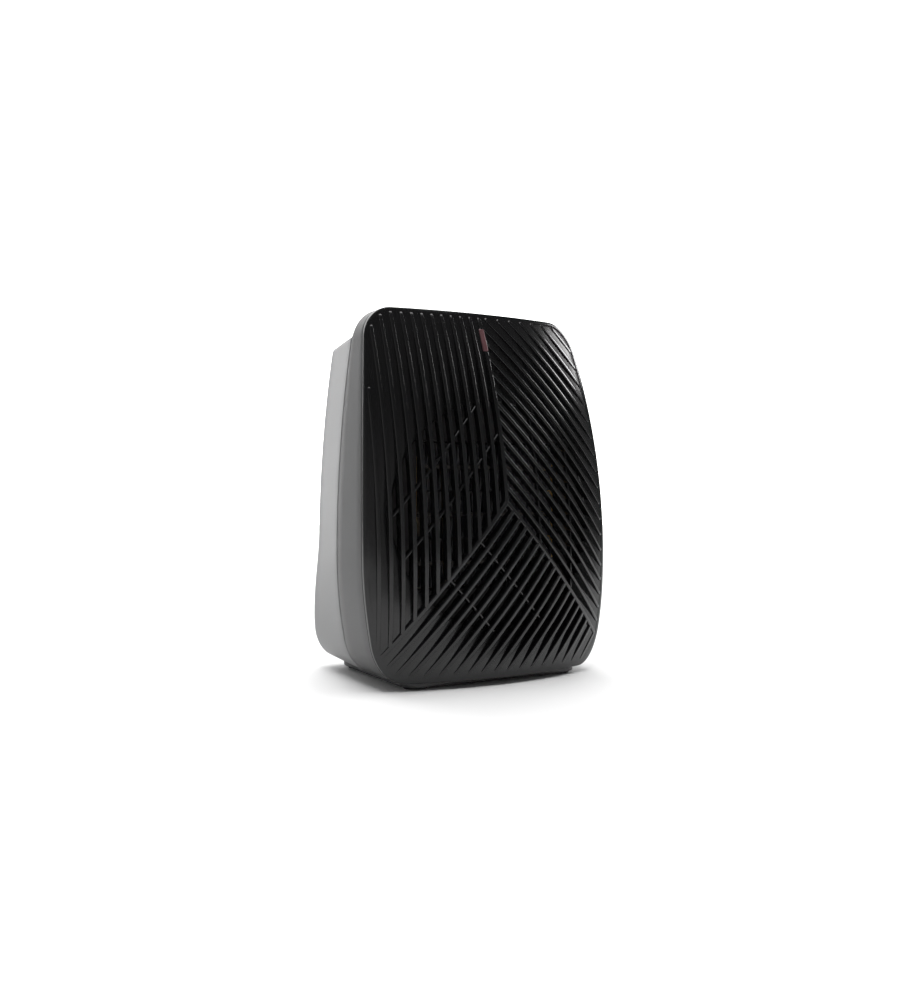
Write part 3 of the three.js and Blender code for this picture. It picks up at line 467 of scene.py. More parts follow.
def add_rib(solid, start, end, half, free_start, free_end, recess=0.0, keel=0.8):
    """One rib from start to end, flush with the front, its free ends rounded like a nose."""
    start, end = np.asarray(start, float), np.asarray(end, float)
    length = np.linalg.norm(end - start)
    along = (end - start) / length
    across = np.array([along[1], -along[0]])
    nose = [0, 0.04, 0.12, 0.25, 0.42, 0.65, 1.0]
    places = list(np.linspace(0, length, max(3, int(length / 3.2))))
    if free_start:
        places = [half * n for n in nose] + [p for p in places if p > half * 1.3]
    if free_end:
        places = [p for p in places if p < length - half * 1.3] + [length - half * n for n in reversed(nose)]
    turn = [(1 - RIB_ROUND / half * (1 - math.cos(a)), RIB_ROUND * (1 - math.sin(a)))
            for a in np.linspace(0, math.pi / 2, 5)]
    section = [(-1.0, None)] + [(-share, depth) for share, depth in turn] + turn[::-1] + [(1.0, None)]
    rings = []
    for place in places:
        near = 1.0
        if free_start:
            near = min(near, place / half)
        if free_end:
            near = min(near, (length - place) / half)
        width = half * max(0.1, math.sqrt(max(0.0, 1 - (1 - near) ** 2)))
        drop = 0.7 * (1 - near) ** 2
        middle = start + along * place
        floor = float(floor_depth(*middle))
        ring = []
        for share, depth in section:
            x, z = middle + across * share * width
            d = recess + drop + depth if depth is not None else max(floor + keel, recess + drop + RIB_ROUND + 0.1)
            ring.append((x, float(front_y(x, z)) + d, z))
        rings.append(ring)
    solid.loft(rings)


def make_ribs():
    left, right, bottom, edges, bars = Solid(), Solid(), Solid(), Solid(), Solid()
    for k in range(1, 30):
        found = clip_line(np.array([-UPRIGHT_PITCH * k, JUNCTION_Z]), UP, [(ABOVE_LEFT, ABOVE_LEFT @ JUNCTION)])
        if found:
            add_rib(left, found[0], found[1], RIB_HALF, found[2], found[3])
        found = clip_line(JUNCTION + ABOVE_RIGHT * DIAGONAL_PITCH * k, RIGHT_LINE, [(np.array([1.0, 0.0]), 0.0)])
        if found:
            start = found[0]
            if start[0] < 1.0 and LAMP["z0"] - 2.0 < start[1] < LAMP["z1"] + 3.0:
                start = start + RIGHT_LINE * (LAMP["x"] + LAMP_CLEARANCE) / RIGHT_LINE[0]
            add_rib(right, start, found[1], RIB_HALF, found[2], found[3])
        found = clip_line(JUNCTION - ABOVE_LEFT * DIAGONAL_PITCH * k, LEFT_LINE,
                          [(-ABOVE_RIGHT, -(ABOVE_RIGHT @ JUNCTION))])
        if found:
            add_rib(bottom, found[0], found[1], RIB_HALF, found[2], found[3])
    for line in (LEFT_LINE, RIGHT_LINE):
        found = clip_line(JUNCTION, line)
        add_rib(edges, JUNCTION - line * 0.5, found[1], EDGE_RIB_HALF, False, True)
    top = clip_line(JUNCTION, UP)[1]
    add_rib(edges, JUNCTION - UP * 0.5, np.array([0, LAMP["z0"] - 0.25]), EDGE_RIB_HALF, False, False)
    add_rib(edges, np.array([0, LAMP["z1"] + 0.25]), top, EDGE_RIB_HALF, False, True)
    at_junction = lambda normal: normal @ JUNCTION
    spans = [(JUNCTION + ABOVE_LEFT * d, LEFT_LINE, [(ABOVE_LEFT, at_junction(ABOVE_LEFT)),
                                                     (np.array([-1.0, 0]), 0.0)])
             for d in (33.0, 58.0)]
    spans += [(JUNCTION - ABOVE_RIGHT * d, RIGHT_LINE,
               [(-ABOVE_RIGHT, -at_junction(ABOVE_RIGHT)), (-ABOVE_LEFT, -at_junction(ABOVE_LEFT))])
              for d in (35.4, 70.5)]
    spans += [(np.array([x, JUNCTION_Z]), UP, [(ABOVE_RIGHT, at_junction(ABOVE_RIGHT)), (np.array([1.0, 0]), 0.0)])
              for x in (30.5, 63.0)]
    for point, along, walls in spans:
        found = clip_line(point, along, walls, within=OPEN_RADIUS + 0.5)
        if found:
            add_rib(bars, found[0], found[1], BAR_HALF, False, False, recess=BAR_RECESS)
    for name, solid in (("ribs_left", left), ("ribs_right", right), ("ribs_lower", bottom),
                        ("ribs_boundary", edges), ("rib_crossbars", bars)):
        piece(name, solid, "gloss_front", smooth_angle=55)


def make_lens():
    """A crowned red bar that takes the place of a stretch of the upright boundary rib."""
    solid = Solid()
    half, low, high = LAMP["x"], LAMP["z0"], LAMP["z1"]
    round_edge = 0.9
    rings = []
    for grow, depth in [(0, 4.5), (0, round_edge)] + [
            (round_edge * (1 - math.cos(a)), round_edge * (1 - math.sin(a))) for a in np.linspace(0.2, math.pi / 2, 7)]:
        ring = []
        corner = 1.2
        for cx, cz, a0 in ((half - corner, high - corner, 0), (-half + corner, high - corner, 1),
                           (-half + corner, low + corner, 2), (half - corner, low + corner, 3)):
            for i in range(7):
                a = (a0 + i / 6) * math.pi / 2
                r = max(0.15, corner - grow)
                x, z = cx + r * math.cos(a), cz + r * math.sin(a)
                ring.append((x, float(front_y(x, z)) + depth + 0.05, z))
        rings.append(ring)
    solid.loft(rings)
    piece("power_light_bar", solid, "red_lens", stands_for=["power_light_lens"], smooth_angle=60)


# ---- bezel ----
def make_bezel():
    solid = Solid()
    front = front_y(OUTLINE[:, 0], OUTLINE[:, 1]) + PLATE + GAP
    back = SEAM_Y - GAP

    def ring(distance, y):
        p = inset(distance)
        return np.stack([p[:, 0], np.broadcast_to(y, (len(p),)), p[:, 1]], 1)

    round_front, round_back = 0.9, 0.5
    rings = [ring(WALL, front)]
    for a in np.linspace(math.pi / 2, 0, 6):
        rings.append(ring(round_front * (1 - math.cos(a)), front + round_front * (1 - math.sin(a))))
    rings += [ring(0, front + (back - front) * t) for t in (0.25, 0.5, 0.75)]
    step = back - SEAM_GROOVE
    for a in np.linspace(0, math.pi / 2, 5):
        rings.append(ring(round_back * (1 - math.cos(a)), step - round_back * (1 - math.sin(a))))
    rings += [ring(1.6, step), ring(1.6, back), ring(WALL, np.full(len(OUTLINE), back))]
    solid.loft(rings, joined=True)
    inner = inset(WALL)
    crown = [(x, z) for x, z in inner if z > DECK_Z - 5]
    solid.prism(crown, back - WALL, back)
    post_front, post_back = -22.0, 67.2
    for x, z in SCREW_PLACES:
        side = math.copysign(1, x)
        if z > DUCT_Z:
            solid.box(x - 1.5, x + 1.5, post_front, back - 0.4, z, BODY_TOP - 1.5)
        else:
            solid.box(*sorted((x, side * 100.5)), post_front, back - 0.4, z - 1.5, z + 1.5)
        solid.turned([(0, post_front), (4.5, post_front), (4.5, post_back - 0.3), (4.2, post_back),
                      (2.0, post_back), (2.0, 45), (0, 45)],
                     (x, 0, z), "Y", 32)
    piece("bezel_ring", solid, "bezel_grey", stands_for=["front_bezel"], smooth_angle=35)


# ---- rear shell ----
def rear_inset(y, z):
    along = np.clip((y - SEAM_Y) / (TAPER_END_Y - SEAM_Y), 0, 1)
    rise = smoothstep((np.asarray(z, float) - BODY_BOTTOM) / (110 - BODY_BOTTOM))
    taper = (TAPER_BOTTOM + (TAPER_SIDE - TAPER_BOTTOM) * rise) * along
    turn = min(1.0, max(0.0, (y - TAPER_END_Y) / (REAR_Y - TAPER_END_Y)))
    return taper + REAR_ROUND * (1 - math.sqrt(max(0.0, 1 - turn * turn)))


# Directions round the duct axis, closer together where the deck turns down into the sides.
_turn = np.radians(np.concatenate([np.linspace(-90, 42, 132), np.linspace(42.4, 72, 110), np.linspace(72.8, 90, 22)]))
DIRECTIONS = np.concatenate([_turn, math.pi - _turn[-2:0:-1]])
TOWARD = np.stack([np.cos(DIRECTIONS), np.sin(DIRECTIONS)], 1)


def soft_minimum(value, limit, reach):
    """The lower of the two, with a rounded change between them."""
    h = np.clip(0.5 + 0.5 * (limit - value) / reach, 0, 1)
    return limit + (value - limit) * h - reach * h * (1 - h)


def rear_ring(y, wall, extra=0.0):
    """The shell's section at y, one point in each direction from the duct axis: the outline moved in, and capped by
    the deck."""
    p = inset(rear_inset(y, OUTLINE[:, 1]) + wall + extra) - np.array([0, DUCT_Z])
    angle = np.unwrap(np.arctan2(p[:, 1], p[:, 0]))
    ahead = angle > np.maximum.accumulate(np.concatenate([[-10.0], angle[:-1]]))
    order = np.argsort(np.mod(angle[ahead], 2 * math.pi))
    radius = np.interp(np.mod(DIRECTIONS, 2 * math.pi), np.mod(angle[ahead], 2 * math.pi)[order],
                       np.linalg.norm(p[ahead], axis=1)[order], period=2 * math.pi)
    turn = min(1.0, max(0.0, (y - TAPER_END_Y) / (REAR_Y - TAPER_END_Y)))
    deck = (DECK_Z - wall - 2 * turn * turn - extra - DUCT_Z) / np.maximum(TOWARD[:, 1], 1e-3)
    radius = soft_minimum(radius, np.where(TOWARD[:, 1] > 0.2, deck, 1e6), 2.4)
    p = TOWARD * radius[:, None]
    return np.stack([p[:, 0], np.full(len(p), float(y)), DUCT_Z + p[:, 1]], 1)


def make_rear_shell():
    start = SEAM_Y + GAP
    rings = [rear_ring(start + 0.7 * (1 - math.sin(a)), 0, 0.7 * (1 - math.cos(a)))
             for a in np.linspace(math.pi / 2, 0, 5)]
    rings += [rear_ring(y, 0) for y in np.linspace(8, TAPER_END_Y, 7)]
    turns = [math.sin(a) for a in np.linspace(0, math.pi / 2, 12)][1:]
    rings += [rear_ring(TAPER_END_Y + (REAR_Y - TAPER_END_Y) * t, 0) for t in turns]

    def hole(radius, y):
        return np.stack([radius * TOWARD[:, 0], np.full(len(TOWARD), float(y)), DUCT_Z + radius * TOWARD[:, 1]], 1)

    back_in = REAR_Y - WALL
    rings += [hole(INTAKE_RADIUS + 0.6, REAR_Y), hole(INTAKE_RADIUS + 0.2, REAR_Y - 0.2),
              hole(INTAKE_RADIUS, REAR_Y - 0.6)]
    rings.append(hole(INTAKE_RADIUS, back_in))
    inner = [rear_ring(y, WALL) for y in (start, 20, 42, TAPER_END_Y)]
    inner += [rear_ring(TAPER_END_Y + (back_in - TAPER_END_Y) * t, WALL) for t in (0.5, 0.85, 1)]
    rings += inner[::-1]
    o = piece("rear_shell", Solid().loft(rings, joined=True), "shell_grey", stands_for=["rear_housing"])
    bosses = Solid()
    for x, z in SCREW_PLACES:
        bosses.turned([(0, 67.5), (7, 67.5), (7, REAR_Y - 0.5), (0, REAR_Y - 0.5)], (x, 0, z), "Y", 40)
    cut(o, bosses, "UNION")
    tools = Solid()
    for x, z in SCREW_PLACES:
        tools.turned([(0, 60), (2.1, 60), (2.1, 70.5), (4.3, 70.5), (4.3, REAR_Y - 0.6), (5.2, REAR_Y + 0.3),
                      (0, REAR_Y + 0.3)],
                     (x, 0, z), "Y", 48)
    tools.turned([(0, 65), (5.8, 65), (5.8, REAR_Y - 0.5), (6.6, REAR_Y + 0.3), (0, REAR_Y + 0.3)],
                 (GLAND_X, 0, GLAND_Z), "Y", 48)
    for x in (-KNOB_X, KNOB_X):
        tools.turned([(0, DECK_Z - 6), (4.5, DECK_Z - 6), (4.5, DECK_Z - 0.35), (KNOB_RADIUS + 1.2, DECK_Z - 0.35),
                      (KNOB_RADIUS + 1.9, DECK_Z + 0.35), (0, DECK_Z + 0.35)], (x, KNOB_Y, 0), "Z", 96)
    tools.turned([(0, 0), (4.6, 0), (4.6, 20), (0, 20)], (TIP_X, TIP_Y, 0), "Z", 40)
    cut(o, tools)
    finish_shading(o, 32)


def make_intake_grille():
    """A round grille of rounded bars in a stepped rim, set into the back."""
    solid = Solid()
    rim = INTAKE_RADIUS - GAP
    solid.turned([(63, 71.4), (63.6, 71), (rim - 0.4, 71), (rim, 71.4), (rim, REAR_Y - 0.5), (rim - 0.5, REAR_Y),
                  (64.2, REAR_Y), (63.4, REAR_Y - 0.4), (63, REAR_Y - 1)], (0, 0, DUCT_Z), "Y", 144)
    solid.turned([(65, 68.4), (rim + 5, 68.4), (rim + 5, REAR_Y - WALL - GAP), (65, REAR_Y - WALL - GAP)],
                 (0, 0, DUCT_Z), "Y", 144)
    pitch, half, circle = 8.0, 1.9, 64.0
    profile = [(71.3, -half + 0.4), (71.0, -half + 0.8), (71.0, half - 0.8), (71.3, half - 0.4), (72.2, half),
               (73.1, half - 0.25), (73.6, half - 0.8), (73.75, 0.0), (73.6, -half + 0.8), (73.1, -half + 0.25),
               (72.2, -half)]
    for k in range(16):
        z = pitch * (k - 7.5)
        reach = math.sqrt(circle**2 - z * z)
        solid.loft([[(x, y, DUCT_Z + z + rise) for y, rise in profile] for x in np.linspace(-reach, reach, 9)])
    solid.box(-2, 2, 71.2, 73.3, DUCT_Z - 63.5, DUCT_Z + 63.5)
    piece("intake_grille", solid, "dark_plastic", stands_for=["rear_intake_grille"], smooth_angle=45)


# ---- underside ----
TRAY_HALF, TRAY_FRONT_Y, TRAY_BACK_Y, TRAY_BOTTOM_Z = 75.0, -60.0, 63.0, 1.5


def make_base_tray():
    """A shallow tray with rounded plan corners under the body; its top follows the body's underside."""
    solid = Solid()
    top_front = BODY_BOTTOM - GAP
    rise = TAPER_BOTTOM * (TRAY_BACK_Y - SEAM_Y) / (TAPER_END_Y - SEAM_Y)

    def ring(shrink, z_of):
        radius = 14.0
        points = []
        for cx, cy, a0 in ((TRAY_HALF - radius, TRAY_BACK_Y - radius, 0),
                           (-TRAY_HALF + radius, TRAY_BACK_Y - radius, 1),
                           (-TRAY_HALF + radius, TRAY_FRONT_Y + radius, 2),
                           (TRAY_HALF - radius, TRAY_FRONT_Y + radius, 3)):
            for i in range(13):
                a = (a0 + i / 12) * math.pi / 2
                x, y = cx + (radius - shrink) * math.cos(a), cy + (radius - shrink) * math.sin(a)
                points.append((x, y, z_of(y)))
        return points

    def under(y):
        return top_front + (rise - GAP) * max(0.0, (y - SEAM_Y) / (TRAY_BACK_Y - SEAM_Y))

    solid.loft([
        ring(2.6, lambda y: TRAY_BOTTOM_Z), ring(1.6, lambda y: TRAY_BOTTOM_Z + 0.12),
        ring(0.8, lambda y: TRAY_BOTTOM_Z + 0.5),
        ring(0.25, lambda y: TRAY_BOTTOM_Z + 1.1), ring(0.0, lambda y: TRAY_BOTTOM_Z + 1.9),
        ring(0.0, lambda y: under(y) - 0.3), ring(0.4, under),
    ])
    o = piece("base_tray", solid, "bezel_grey", stands_for=["base_plate"], smooth_angle=50)
    cut(o, Solid().turned([(0, 0), (5.2, 0), (4.6, 2.1), (4.6, 20), (0, 20)], (TIP_X, TIP_Y, 0), "Z", 48))
    finish_shading(o, 45)


def make_feet():
    """Thin oval pads under the tray, rounded at the lower edge."""
    for name in ("front_left", "front_right", "rear_left", "rear_right"):
        low, high = (Vector(v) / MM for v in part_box("foot_" + name))
        cx, cy = (low.x + high.x) / 2, (low.y + high.y) / 2
        half_x, half_y = (high.x - low.x) / 2, (high.y - low.y) / 2
        rings = []
        for shrink, share in ((1.2, 0.0), (0.7, 0.04), (0.25, 0.2), (0.0, 0.5), (0.0, 0.9), (0.1, 1.0)):
            rings.append([(cx + (half_x - shrink) * math.cos(a), cy + (half_y - shrink) * math.sin(a), share * high.z)
                          for a in np.linspace(0, 2 * math.pi, 65)[:-1]])
        piece("rubber_foot_" + name, Solid().loft(rings), "rubber", stands_for=["foot_" + name], smooth_angle=50)


# ---- controls ----
def make_knob(name, node, body, x, pointing):
    """A turning knob: a chamfered skirt with fine grip flutes, and a waisted grip with a pale pointer line."""
    bottom = DECK_Z + 0.5
    top = bottom + KNOB_HEIGHT
    skirt = bottom + 5.0
    solid = Solid()
    sides = 144
    rings = []
    for radius, z, flute in ((KNOB_RADIUS - 0.8, bottom, 0), (KNOB_RADIUS - 0.2, bottom + 0.3, 0),
                             (KNOB_RADIUS, bottom + 0.9, 0),
                             (KNOB_RADIUS, bottom + 1.2, 1), (KNOB_RADIUS, skirt - 1.6, 1),
                             (KNOB_RADIUS - 0.2, skirt - 1.0, 0.6),
                             (KNOB_RADIUS - 0.9, skirt - 0.35, 0.2), (KNOB_RADIUS - 1.8, skirt, 0)):
        ring = []
        for i in range(sides):
            a = 2 * math.pi * i / sides
            r = radius - 0.28 * flute * (0.5 + 0.5 * math.cos(36 * a))
            ring.append((x + r * math.cos(a), KNOB_Y + r * math.sin(a), z))
        rings.append(ring)
    for radius, z in ((KNOB_RADIUS - 3.2, skirt - 0.15), (4.0, skirt - 0.35)):
        rings.append([(x + radius * math.cos(2 * math.pi * i / sides),
                       KNOB_Y + radius * math.sin(2 * math.pi * i / sides), z)
                      for i in range(sides)])
    solid.loft(rings)
    turn_c, turn_s = math.cos(pointing), math.sin(pointing)

    def placed(u, v, z):
        return (x + u * turn_c - v * turn_s, KNOB_Y + u * turn_s + v * turn_c, z)

    rings = []
    for shrink, z in ((-0.5, skirt - 0.8), (-0.15, skirt + 0.2), (0.0, skirt + 1.2), (0.15, top - 2.2),
                      (0.45, top - 1.1), (1.0, top - 0.4),
                      (1.8, top - 0.05), (2.6, top)):
        ring = []
        for i in range(64):
            a = 2 * math.pi * i / 64
            c, s = math.cos(a), math.sin(a)
            u = math.copysign(abs(c) ** 0.72, c) * (12.6 - shrink)
            waist = 1 - 0.16 * math.exp(-((u / 5.0) ** 2))
            v = math.copysign(abs(s) ** 0.8, s) * (4.1 - shrink) * waist
            ring.append(placed(u, v, z))
        rings.append(ring)
    solid.loft(rings)
    piece(name, solid, "knob_black", body, [node], smooth_angle=45)
    mark = Solid()
    ring_at = lambda shrink, z: [placed(u, v, z) for u, v in (
        (4.5 + shrink, -0.45 + shrink), (10.6 - shrink, -0.45 + shrink),
        (10.6 - shrink, 0.45 - shrink), (4.5 + shrink, 0.45 - shrink))]
    mark.loft([ring_at(0, top - 0.6), ring_at(0, top - 0.02), ring_at(0.12, top)])
    piece(name + "_pointer", mark, "pale_nylon", body)


def make_dials():
    """Printed scales on the deck round the knobs: an open ring and growing bars for the setting, a rising arc of
    ticks for the temperature. Both are plain marks."""
    marks = Solid()
    z0, z1 = DECK_Z - 0.05, DECK_Z + 0.06

    def tick(cx, angle, inner, outer, half):
        c, s = math.cos(angle), math.sin(angle)
        corners = [(inner, -half), (outer, -half), (outer, half), (inner, half)]
        ring = lambda z: [(cx + u * c - v * s, KNOB_Y + u * s + v * c, z) for u, v in corners]
        marks.loft([ring(z0), ring(z1)])

    def dot(cx, angle, radius, size):
        px, py = cx + radius * math.cos(angle), KNOB_Y + radius * math.sin(angle)
        marks.turned([(0, z0), (size, z0), (size, z1), (0, z1)], (px, py, 0), "Z", 24)

    start = math.radians(-90)
    px, py = -KNOB_X + 20 * math.cos(start), KNOB_Y + 20 * math.sin(start)
    marks.turned([(0.8, z0), (1.35, z0), (1.35, z1), (0.8, z1)], (px, py, 0), "Z", 32)
    for step in (1, 2, 3):
        angle = start - math.radians(45 * step)
        for n in range(step):
            dot(-KNOB_X, angle + math.radians(6.0 * (n - (step - 1) / 2)), 20, 0.75)
    start = math.radians(-135)
    for step in range(28):
        angle = start - math.radians(10 * step)
        tick(KNOB_X, angle, 18.4, 19.2 + 2.2 * step / 27, 0.28)
    piece("dial_marks", marks, "pale_nylon")


def make_plunger():
    profile = [(0, 0), (2.4, 0), (3.2, 0.15), (3.8, 0.6), (4, 1.2), (4, 16.4), (6.2, 16.4), (6.5, 16.7),
               (6.5, 18.1), (6.2, 18.4),
               (2.4, 18.4), (2.4, 37.0), (0.8, 38.6), (0, 38.6)]
    piece("tip_over_plunger", Solid().turned(profile, (TIP_X, TIP_Y, 0), "Z", 64), "pale_nylon", "tip_button",
          ["tip_plunger"])


def make_gland():
    b = GLAND_BORE
    profile = [(b, 68), (7.1, 68), (7.4, 68.3), (7.4, REAR_Y - WALL - GAP), (5.5, REAR_Y - WALL - GAP),
               (5.5, REAR_Y + GAP), (7.2, REAR_Y + GAP),
               (7.4, REAR_Y + 0.6), (7.2, REAR_Y + 1.3), (6.6, REAR_Y + 1.85), (5.8, REAR_Y + 2),
               (b + 0.5, REAR_Y + 2), (b, REAR_Y + 1.5)]
    piece("cable_outlet_gland", Solid().turned(profile, (GLAND_X, 0, GLAND_Z), "Y", 64), "rubber",
          stands_for=["cable_gland"], smooth_angle=50)


def make_housing_screws():
    """Pan-head screws with a cross recess, deep in the back of the shell."""
    for i, (x, z) in enumerate(SCREW_PLACES, 1):
        head, length = 70.8, 20.0
        profile = [(0, head - length), (0.6, head - length), (1.7, head - length + 2)]
        for k in range(14):
            y = head - length + 3 + k * 1.15
            profile += [(1.35, y), (1.7, y + 0.4), (1.35, y + 0.8)]
        profile += [(1.7, head), (3.5, head), (3.8, head + 0.3), (3.75, head + 1.1), (3.3, head + 1.75),
                    (2.4, head + 2.05), (0, head + 2.1)]
        name = f"housing_screw_{i}"
        o = piece(f"cross_screw_{i}", Solid().turned(profile, (x, 0, z), "Y", 48), "steel", stands_for=[name],
                  smooth_angle=40)
        cross = Solid().box(x - 2.1, x + 2.1, head + 0.7, head + 3, z - 0.45, z + 0.45)
        cut(o, cross)
        cut(o, Solid().box(x - 0.45, x + 0.45, head + 0.7, head + 3, z - 2.1, z + 2.1))
        finish_shading(o, 40)


# ---- inside ----
def make_shroud():
    outer = SHROUD_INNER + SHROUD_WALL
    profile = [(SHROUD_INNER, SHROUD_FRONT_Y + 0.5), (SHROUD_INNER + 0.5, SHROUD_FRONT_Y),
               (outer - 0.5, SHROUD_FRONT_Y), (outer, SHROUD_FRONT_Y + 0.5),
               (outer, SHROUD_REAR_Y - 0.5), (outer - 0.5, SHROUD_REAR_Y),
               (SHROUD_INNER + 0.5, SHROUD_REAR_Y), (SHROUD_INNER, SHROUD_REAR_Y - 0.5)]
    piece("air_duct", Solid().turned(profile, (0, 0, DUCT_Z), "Y", 144), "heat_plastic", stands_for=["fan_shroud"])


def make_impeller():
    """Seven cambered blades with rounded tips on a domed hub."""
    solid = Solid()
    hub, tip, centre_y = 20.0, 81.0, -2.0
    solid.turned([(2.8, -13), (14, -13), (17, -12.4), (19.2, -11), (hub, -8.8), (hub, 8.4), (19.4, 9), (18, 9),
                  (18, -10), (6, -10.5), (6, 8), (2.8, 8)],
                 (0, 0, DUCT_Z), "Y", 96)
    sweep = np.linspace(0.3, math.pi - 0.3, 8)
    blade_edge = [(-1, 0)] + [(-math.cos(a), 1) for a in sweep] + [(1, 0)] + [(math.cos(a), -1) for a in sweep]
    blades = 7
    for blade in range(blades):
        turn = 2 * math.pi * blade / blades
        rings = []
        for radius in np.linspace(hub - 1.5, tip, 12):
            share = (radius - hub) / (tip - hub)
            pitch = math.radians(42 - 20 * share)
            half = 11 + 10 * share
            if radius > tip - 6:
                half *= 1 - 0.35 * ((radius - tip + 6) / 6) ** 2
            ring = []
            for along, across in blade_edge:
                thickness = 0.95 * math.sqrt(max(0.0, 1 - along * along)) if across else 0
                camber = 2 * (1 - along * along)
                a = along * half * math.cos(pitch) / max(radius, 30) + turn
                y = centre_y + along * half * math.sin(pitch) + across * thickness + camber
                ring.append((radius * math.cos(a), y, DUCT_Z + radius * math.sin(a)))
            rings.append(ring)
        solid.loft(rings)
    piece("impeller", solid, "heat_plastic", "fan", ["fan_impeller"], smooth_angle=50)


def make_fins():
    """Fine corrugated strips above and below each ceramic bar."""
    rows, folds, skin = 3, 46, 0.35
    pitch, bar = HEATER_HEIGHT / rows, 2.4
    height = (pitch - bar - 4 * GAP) / 2
    half_x = HEATER_WIDTH / 2 - 1.5
    for row in range(rows):
        middle = DUCT_Z + (row - (rows - 1) / 2) * pitch
        for n, z0 in ((2 * row + 1, middle - bar / 2 - GAP - height), (2 * row + 2, middle + bar / 2 + GAP)):
            z_low, z_high = z0 + skin, z0 + height - skin
            path = []
            step = 2 * half_x / folds
            for i in range(folds + 1):
                x = -half_x + step * i
                z, bend = (z_low, 1) if i % 2 == 0 else (z_high, -1)
                if i in (0, folds):
                    path.append((x, z))
                else:
                    path += [(x - 0.33 * step, z + bend * 0.5), (x - 0.16 * step, z), (x + 0.16 * step, z),
                             (x + 0.33 * step, z + bend * 0.5)]
            path = np.array(path)
            along = np.gradient(path, axis=0)
            sideways = np.stack([-along[:, 1], along[:, 0]], 1) / np.linalg.norm(along, axis=1)[:, None]
            upper, lower = path + sideways * skin / 2, path - sideways * skin / 2
            y0, y1 = HEATER_FRONT_Y, HEATER_FRONT_Y + HEATER_DEPTH
            rings = [[(a[0], y0, a[1]), (a[0], y1, a[1]), (b[0], y1, b[1]), (b[0], y0, b[1])] for a,
                     b in zip(upper, lower)]
            # painted shade: the fins take the darkened aluminium finish, which stands for the shade inside the duct
            piece(f"corrugated_fin_{n}", Solid().loft(rings), "aluminium", stands_for=[f"heat_fin_{n}"],
                  smooth_angle=50)


def dress_cad_nodes():
    """Every CAD node still shown takes its slot's finish and gets its sharp edges softened."""
    slots = {s["node"]: s["material_slot"] for s in frame["record"]["subparts"]}
    for name, o in NODES.items():
        if o.hide_render:
            continue
        o.data.materials.clear()
        # the ceramic and aluminium slots carry painted shade: both are darkened to stand for the dark inside of the
        # duct
        o.data.materials.append(MATERIALS[slots[name]])
        for polygon in o.data.polygons:
            polygon.use_smooth = True
        o.data.set_sharp_from_angle(angle=math.radians(35))
        if name != "tip_spring":
            add_bevel(o, 0.25, 2)


# ---- stage ----
def stage_material(name, color, glow=0.0):
    m = bpy.data.materials.new(name)
    m.use_nodes = True
    shader = m.node_tree.nodes["Principled BSDF"]
    shader.inputs["Base Color"].default_value = (*color, 1)
    shader.inputs["Roughness"].default_value = 0.75
    if glow:
        shader.inputs["Emission Color"].default_value = (1, 1, 1, 1)
        shader.inputs["Emission Strength"].default_value = glow
    return m


def make_stage():
    floor_mesh = bpy.data.meshes.new("floor")
    reach, steps = 14.0, 96
    points = [(0, 0, 0)] + [(reach * math.cos(2 * math.pi * i / steps), reach * math.sin(2 * math.pi * i / steps),
                             0) for i in range(steps)]
    floor_mesh.from_pydata(points, [], [(0, i + 1, (i + 1) % steps + 1) for i in range(steps)])
    floor = bpy.data.objects.new("floor", floor_mesh)
    floor_mesh.materials.append(stage_material("pale_floor", (0.93, 0.93, 0.93)))
    # A tall curved backdrop round the far side.
    radius, height, steps = 3.2, 3.6, 64
    points, faces = [], []
    for i in range(steps + 1):
        a = math.radians(27 + 90 * i / steps)
        points += [(radius * math.cos(a), radius * math.sin(a), 0.0),
                   (radius * math.cos(a), radius * math.sin(a), height)]
    faces = [(2 * i, 2 * i + 2, 2 * i + 3, 2 * i + 1) for i in range(steps)]
    wall_mesh = bpy.data.meshes.new("backdrop")
    wall_mesh.from_pydata(points, [], faces)
    wall = bpy.data.objects.new("backdrop", wall_mesh)
    wall_mesh.materials.append(stage_material("pale_backdrop", (0.9, 0.9, 0.9), glow=1.1))
    for o in (floor, wall):
        bpy.context.scene.collection.objects.link(o)


def add_light(name, place, target, size, watts):
    data = bpy.data.lights.new(name, "AREA")
    data.shape = "RECTANGLE"
    data.size, data.size_y = size
    data.energy = watts
    o = bpy.data.objects.new(name, data)
    o.location = place
    o.rotation_mode = "QUATERNION"
    o.rotation_quaternion = (Vector(target) - Vector(place)).to_track_quat("-Z", "Y")
    bpy.context.scene.collection.objects.link(o)


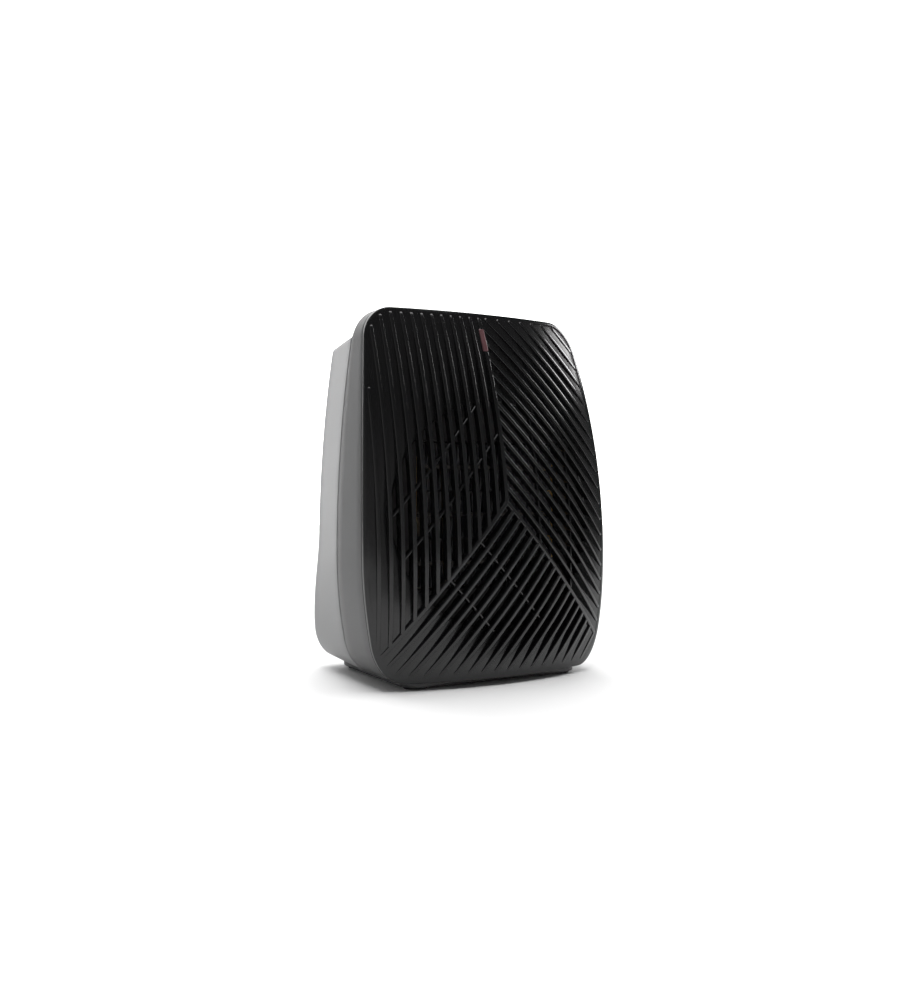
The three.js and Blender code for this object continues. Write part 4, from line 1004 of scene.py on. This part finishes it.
def make_lights():
    add_light("overhead_softbox", (0, 0.5, 3.0), (0, 0.5, 0), (2.6, 3.6), 129)
    add_light("high_right_softbox", (1.81, -0.31, 1.23), (0.085, -0.03, 0.255), (0.45, 0.45), 9.5)
    world = bpy.data.worlds.new("room")
    world.use_nodes = True
    nodes, links = world.node_tree.nodes, world.node_tree.links
    place = nodes.new("ShaderNodeTexCoord")
    split = nodes.new("ShaderNodeSeparateXYZ")
    links.new(place.outputs["Generated"], split.inputs["Vector"])
    fade = nodes.new("ShaderNodeMapRange")
    fade.interpolation_type = "SMOOTHSTEP"
    fade.inputs["From Min"].default_value = -0.02
    fade.inputs["From Max"].default_value = 0.6
    fade.inputs["To Min"].default_value = 0.28
    fade.inputs["To Max"].default_value = 0.09
    links.new(split.outputs["Z"], fade.inputs["Value"])
    facing = nodes.new("ShaderNodeVectorMath")
    facing.operation = "DOT_PRODUCT"
    facing.inputs[1].default_value = (-0.92, -0.3, 0.25)
    links.new(place.outputs["Generated"], facing.inputs[0])
    window = nodes.new("ShaderNodeMapRange")
    window.interpolation_type = "SMOOTHSTEP"
    window.inputs["From Min"].default_value = 0.6
    window.inputs["From Max"].default_value = 0.95
    window.inputs["To Min"].default_value = 0.0
    window.inputs["To Max"].default_value = 0.25
    links.new(facing.outputs["Value"], window.inputs["Value"])
    total = nodes.new("ShaderNodeMath")
    links.new(fade.outputs["Result"], total.inputs[0])
    links.new(window.outputs["Result"], total.inputs[1])
    links.new(total.outputs["Value"], nodes["Background"].inputs["Strength"])
    nodes["Background"].inputs["Color"].default_value = (1, 1, 1, 1)
    bpy.context.scene.world = world
    bpy.context.scene.view_settings.view_transform = "Standard"


def make_camera():
    azimuth, tilt = math.radians(30), 0.011853
    target = Vector((-39.87, -76.0, 135.36)) * MM
    distance = 709.97 * MM
    forward = Vector((math.sin(azimuth) * math.cos(tilt), math.cos(azimuth) * math.cos(tilt), -math.sin(tilt)))
    data = bpy.data.cameras.new("camera")
    data.sensor_width = 36.0
    data.lens = 36.24
    data.clip_start, data.clip_end = 0.01, 60
    o = bpy.data.objects.new("camera", data)
    o.location = target - forward * distance
    o.rotation_mode = "QUATERNION"
    o.rotation_quaternion = forward.to_track_quat("-Z", "Y")
    bpy.context.scene.collection.objects.link(o)
    bpy.context.scene.camera = o


make_camera()
make_stage()
make_lights()
make_front_panel()
make_ribs()
make_lens()
make_bezel()
make_rear_shell()
make_intake_grille()
make_base_tray()
make_feet()
make_knob("mode_dial", "mode_knob", "mode_control", -KNOB_X, math.radians(-90))
make_knob("thermostat_dial", "thermostat_knob", "thermostat_control", KNOB_X, math.radians(-135))
make_dials()
make_plunger()
make_gland()
make_housing_screws()
make_shroud()
make_impeller()
make_fins()
dress_cad_nodes()
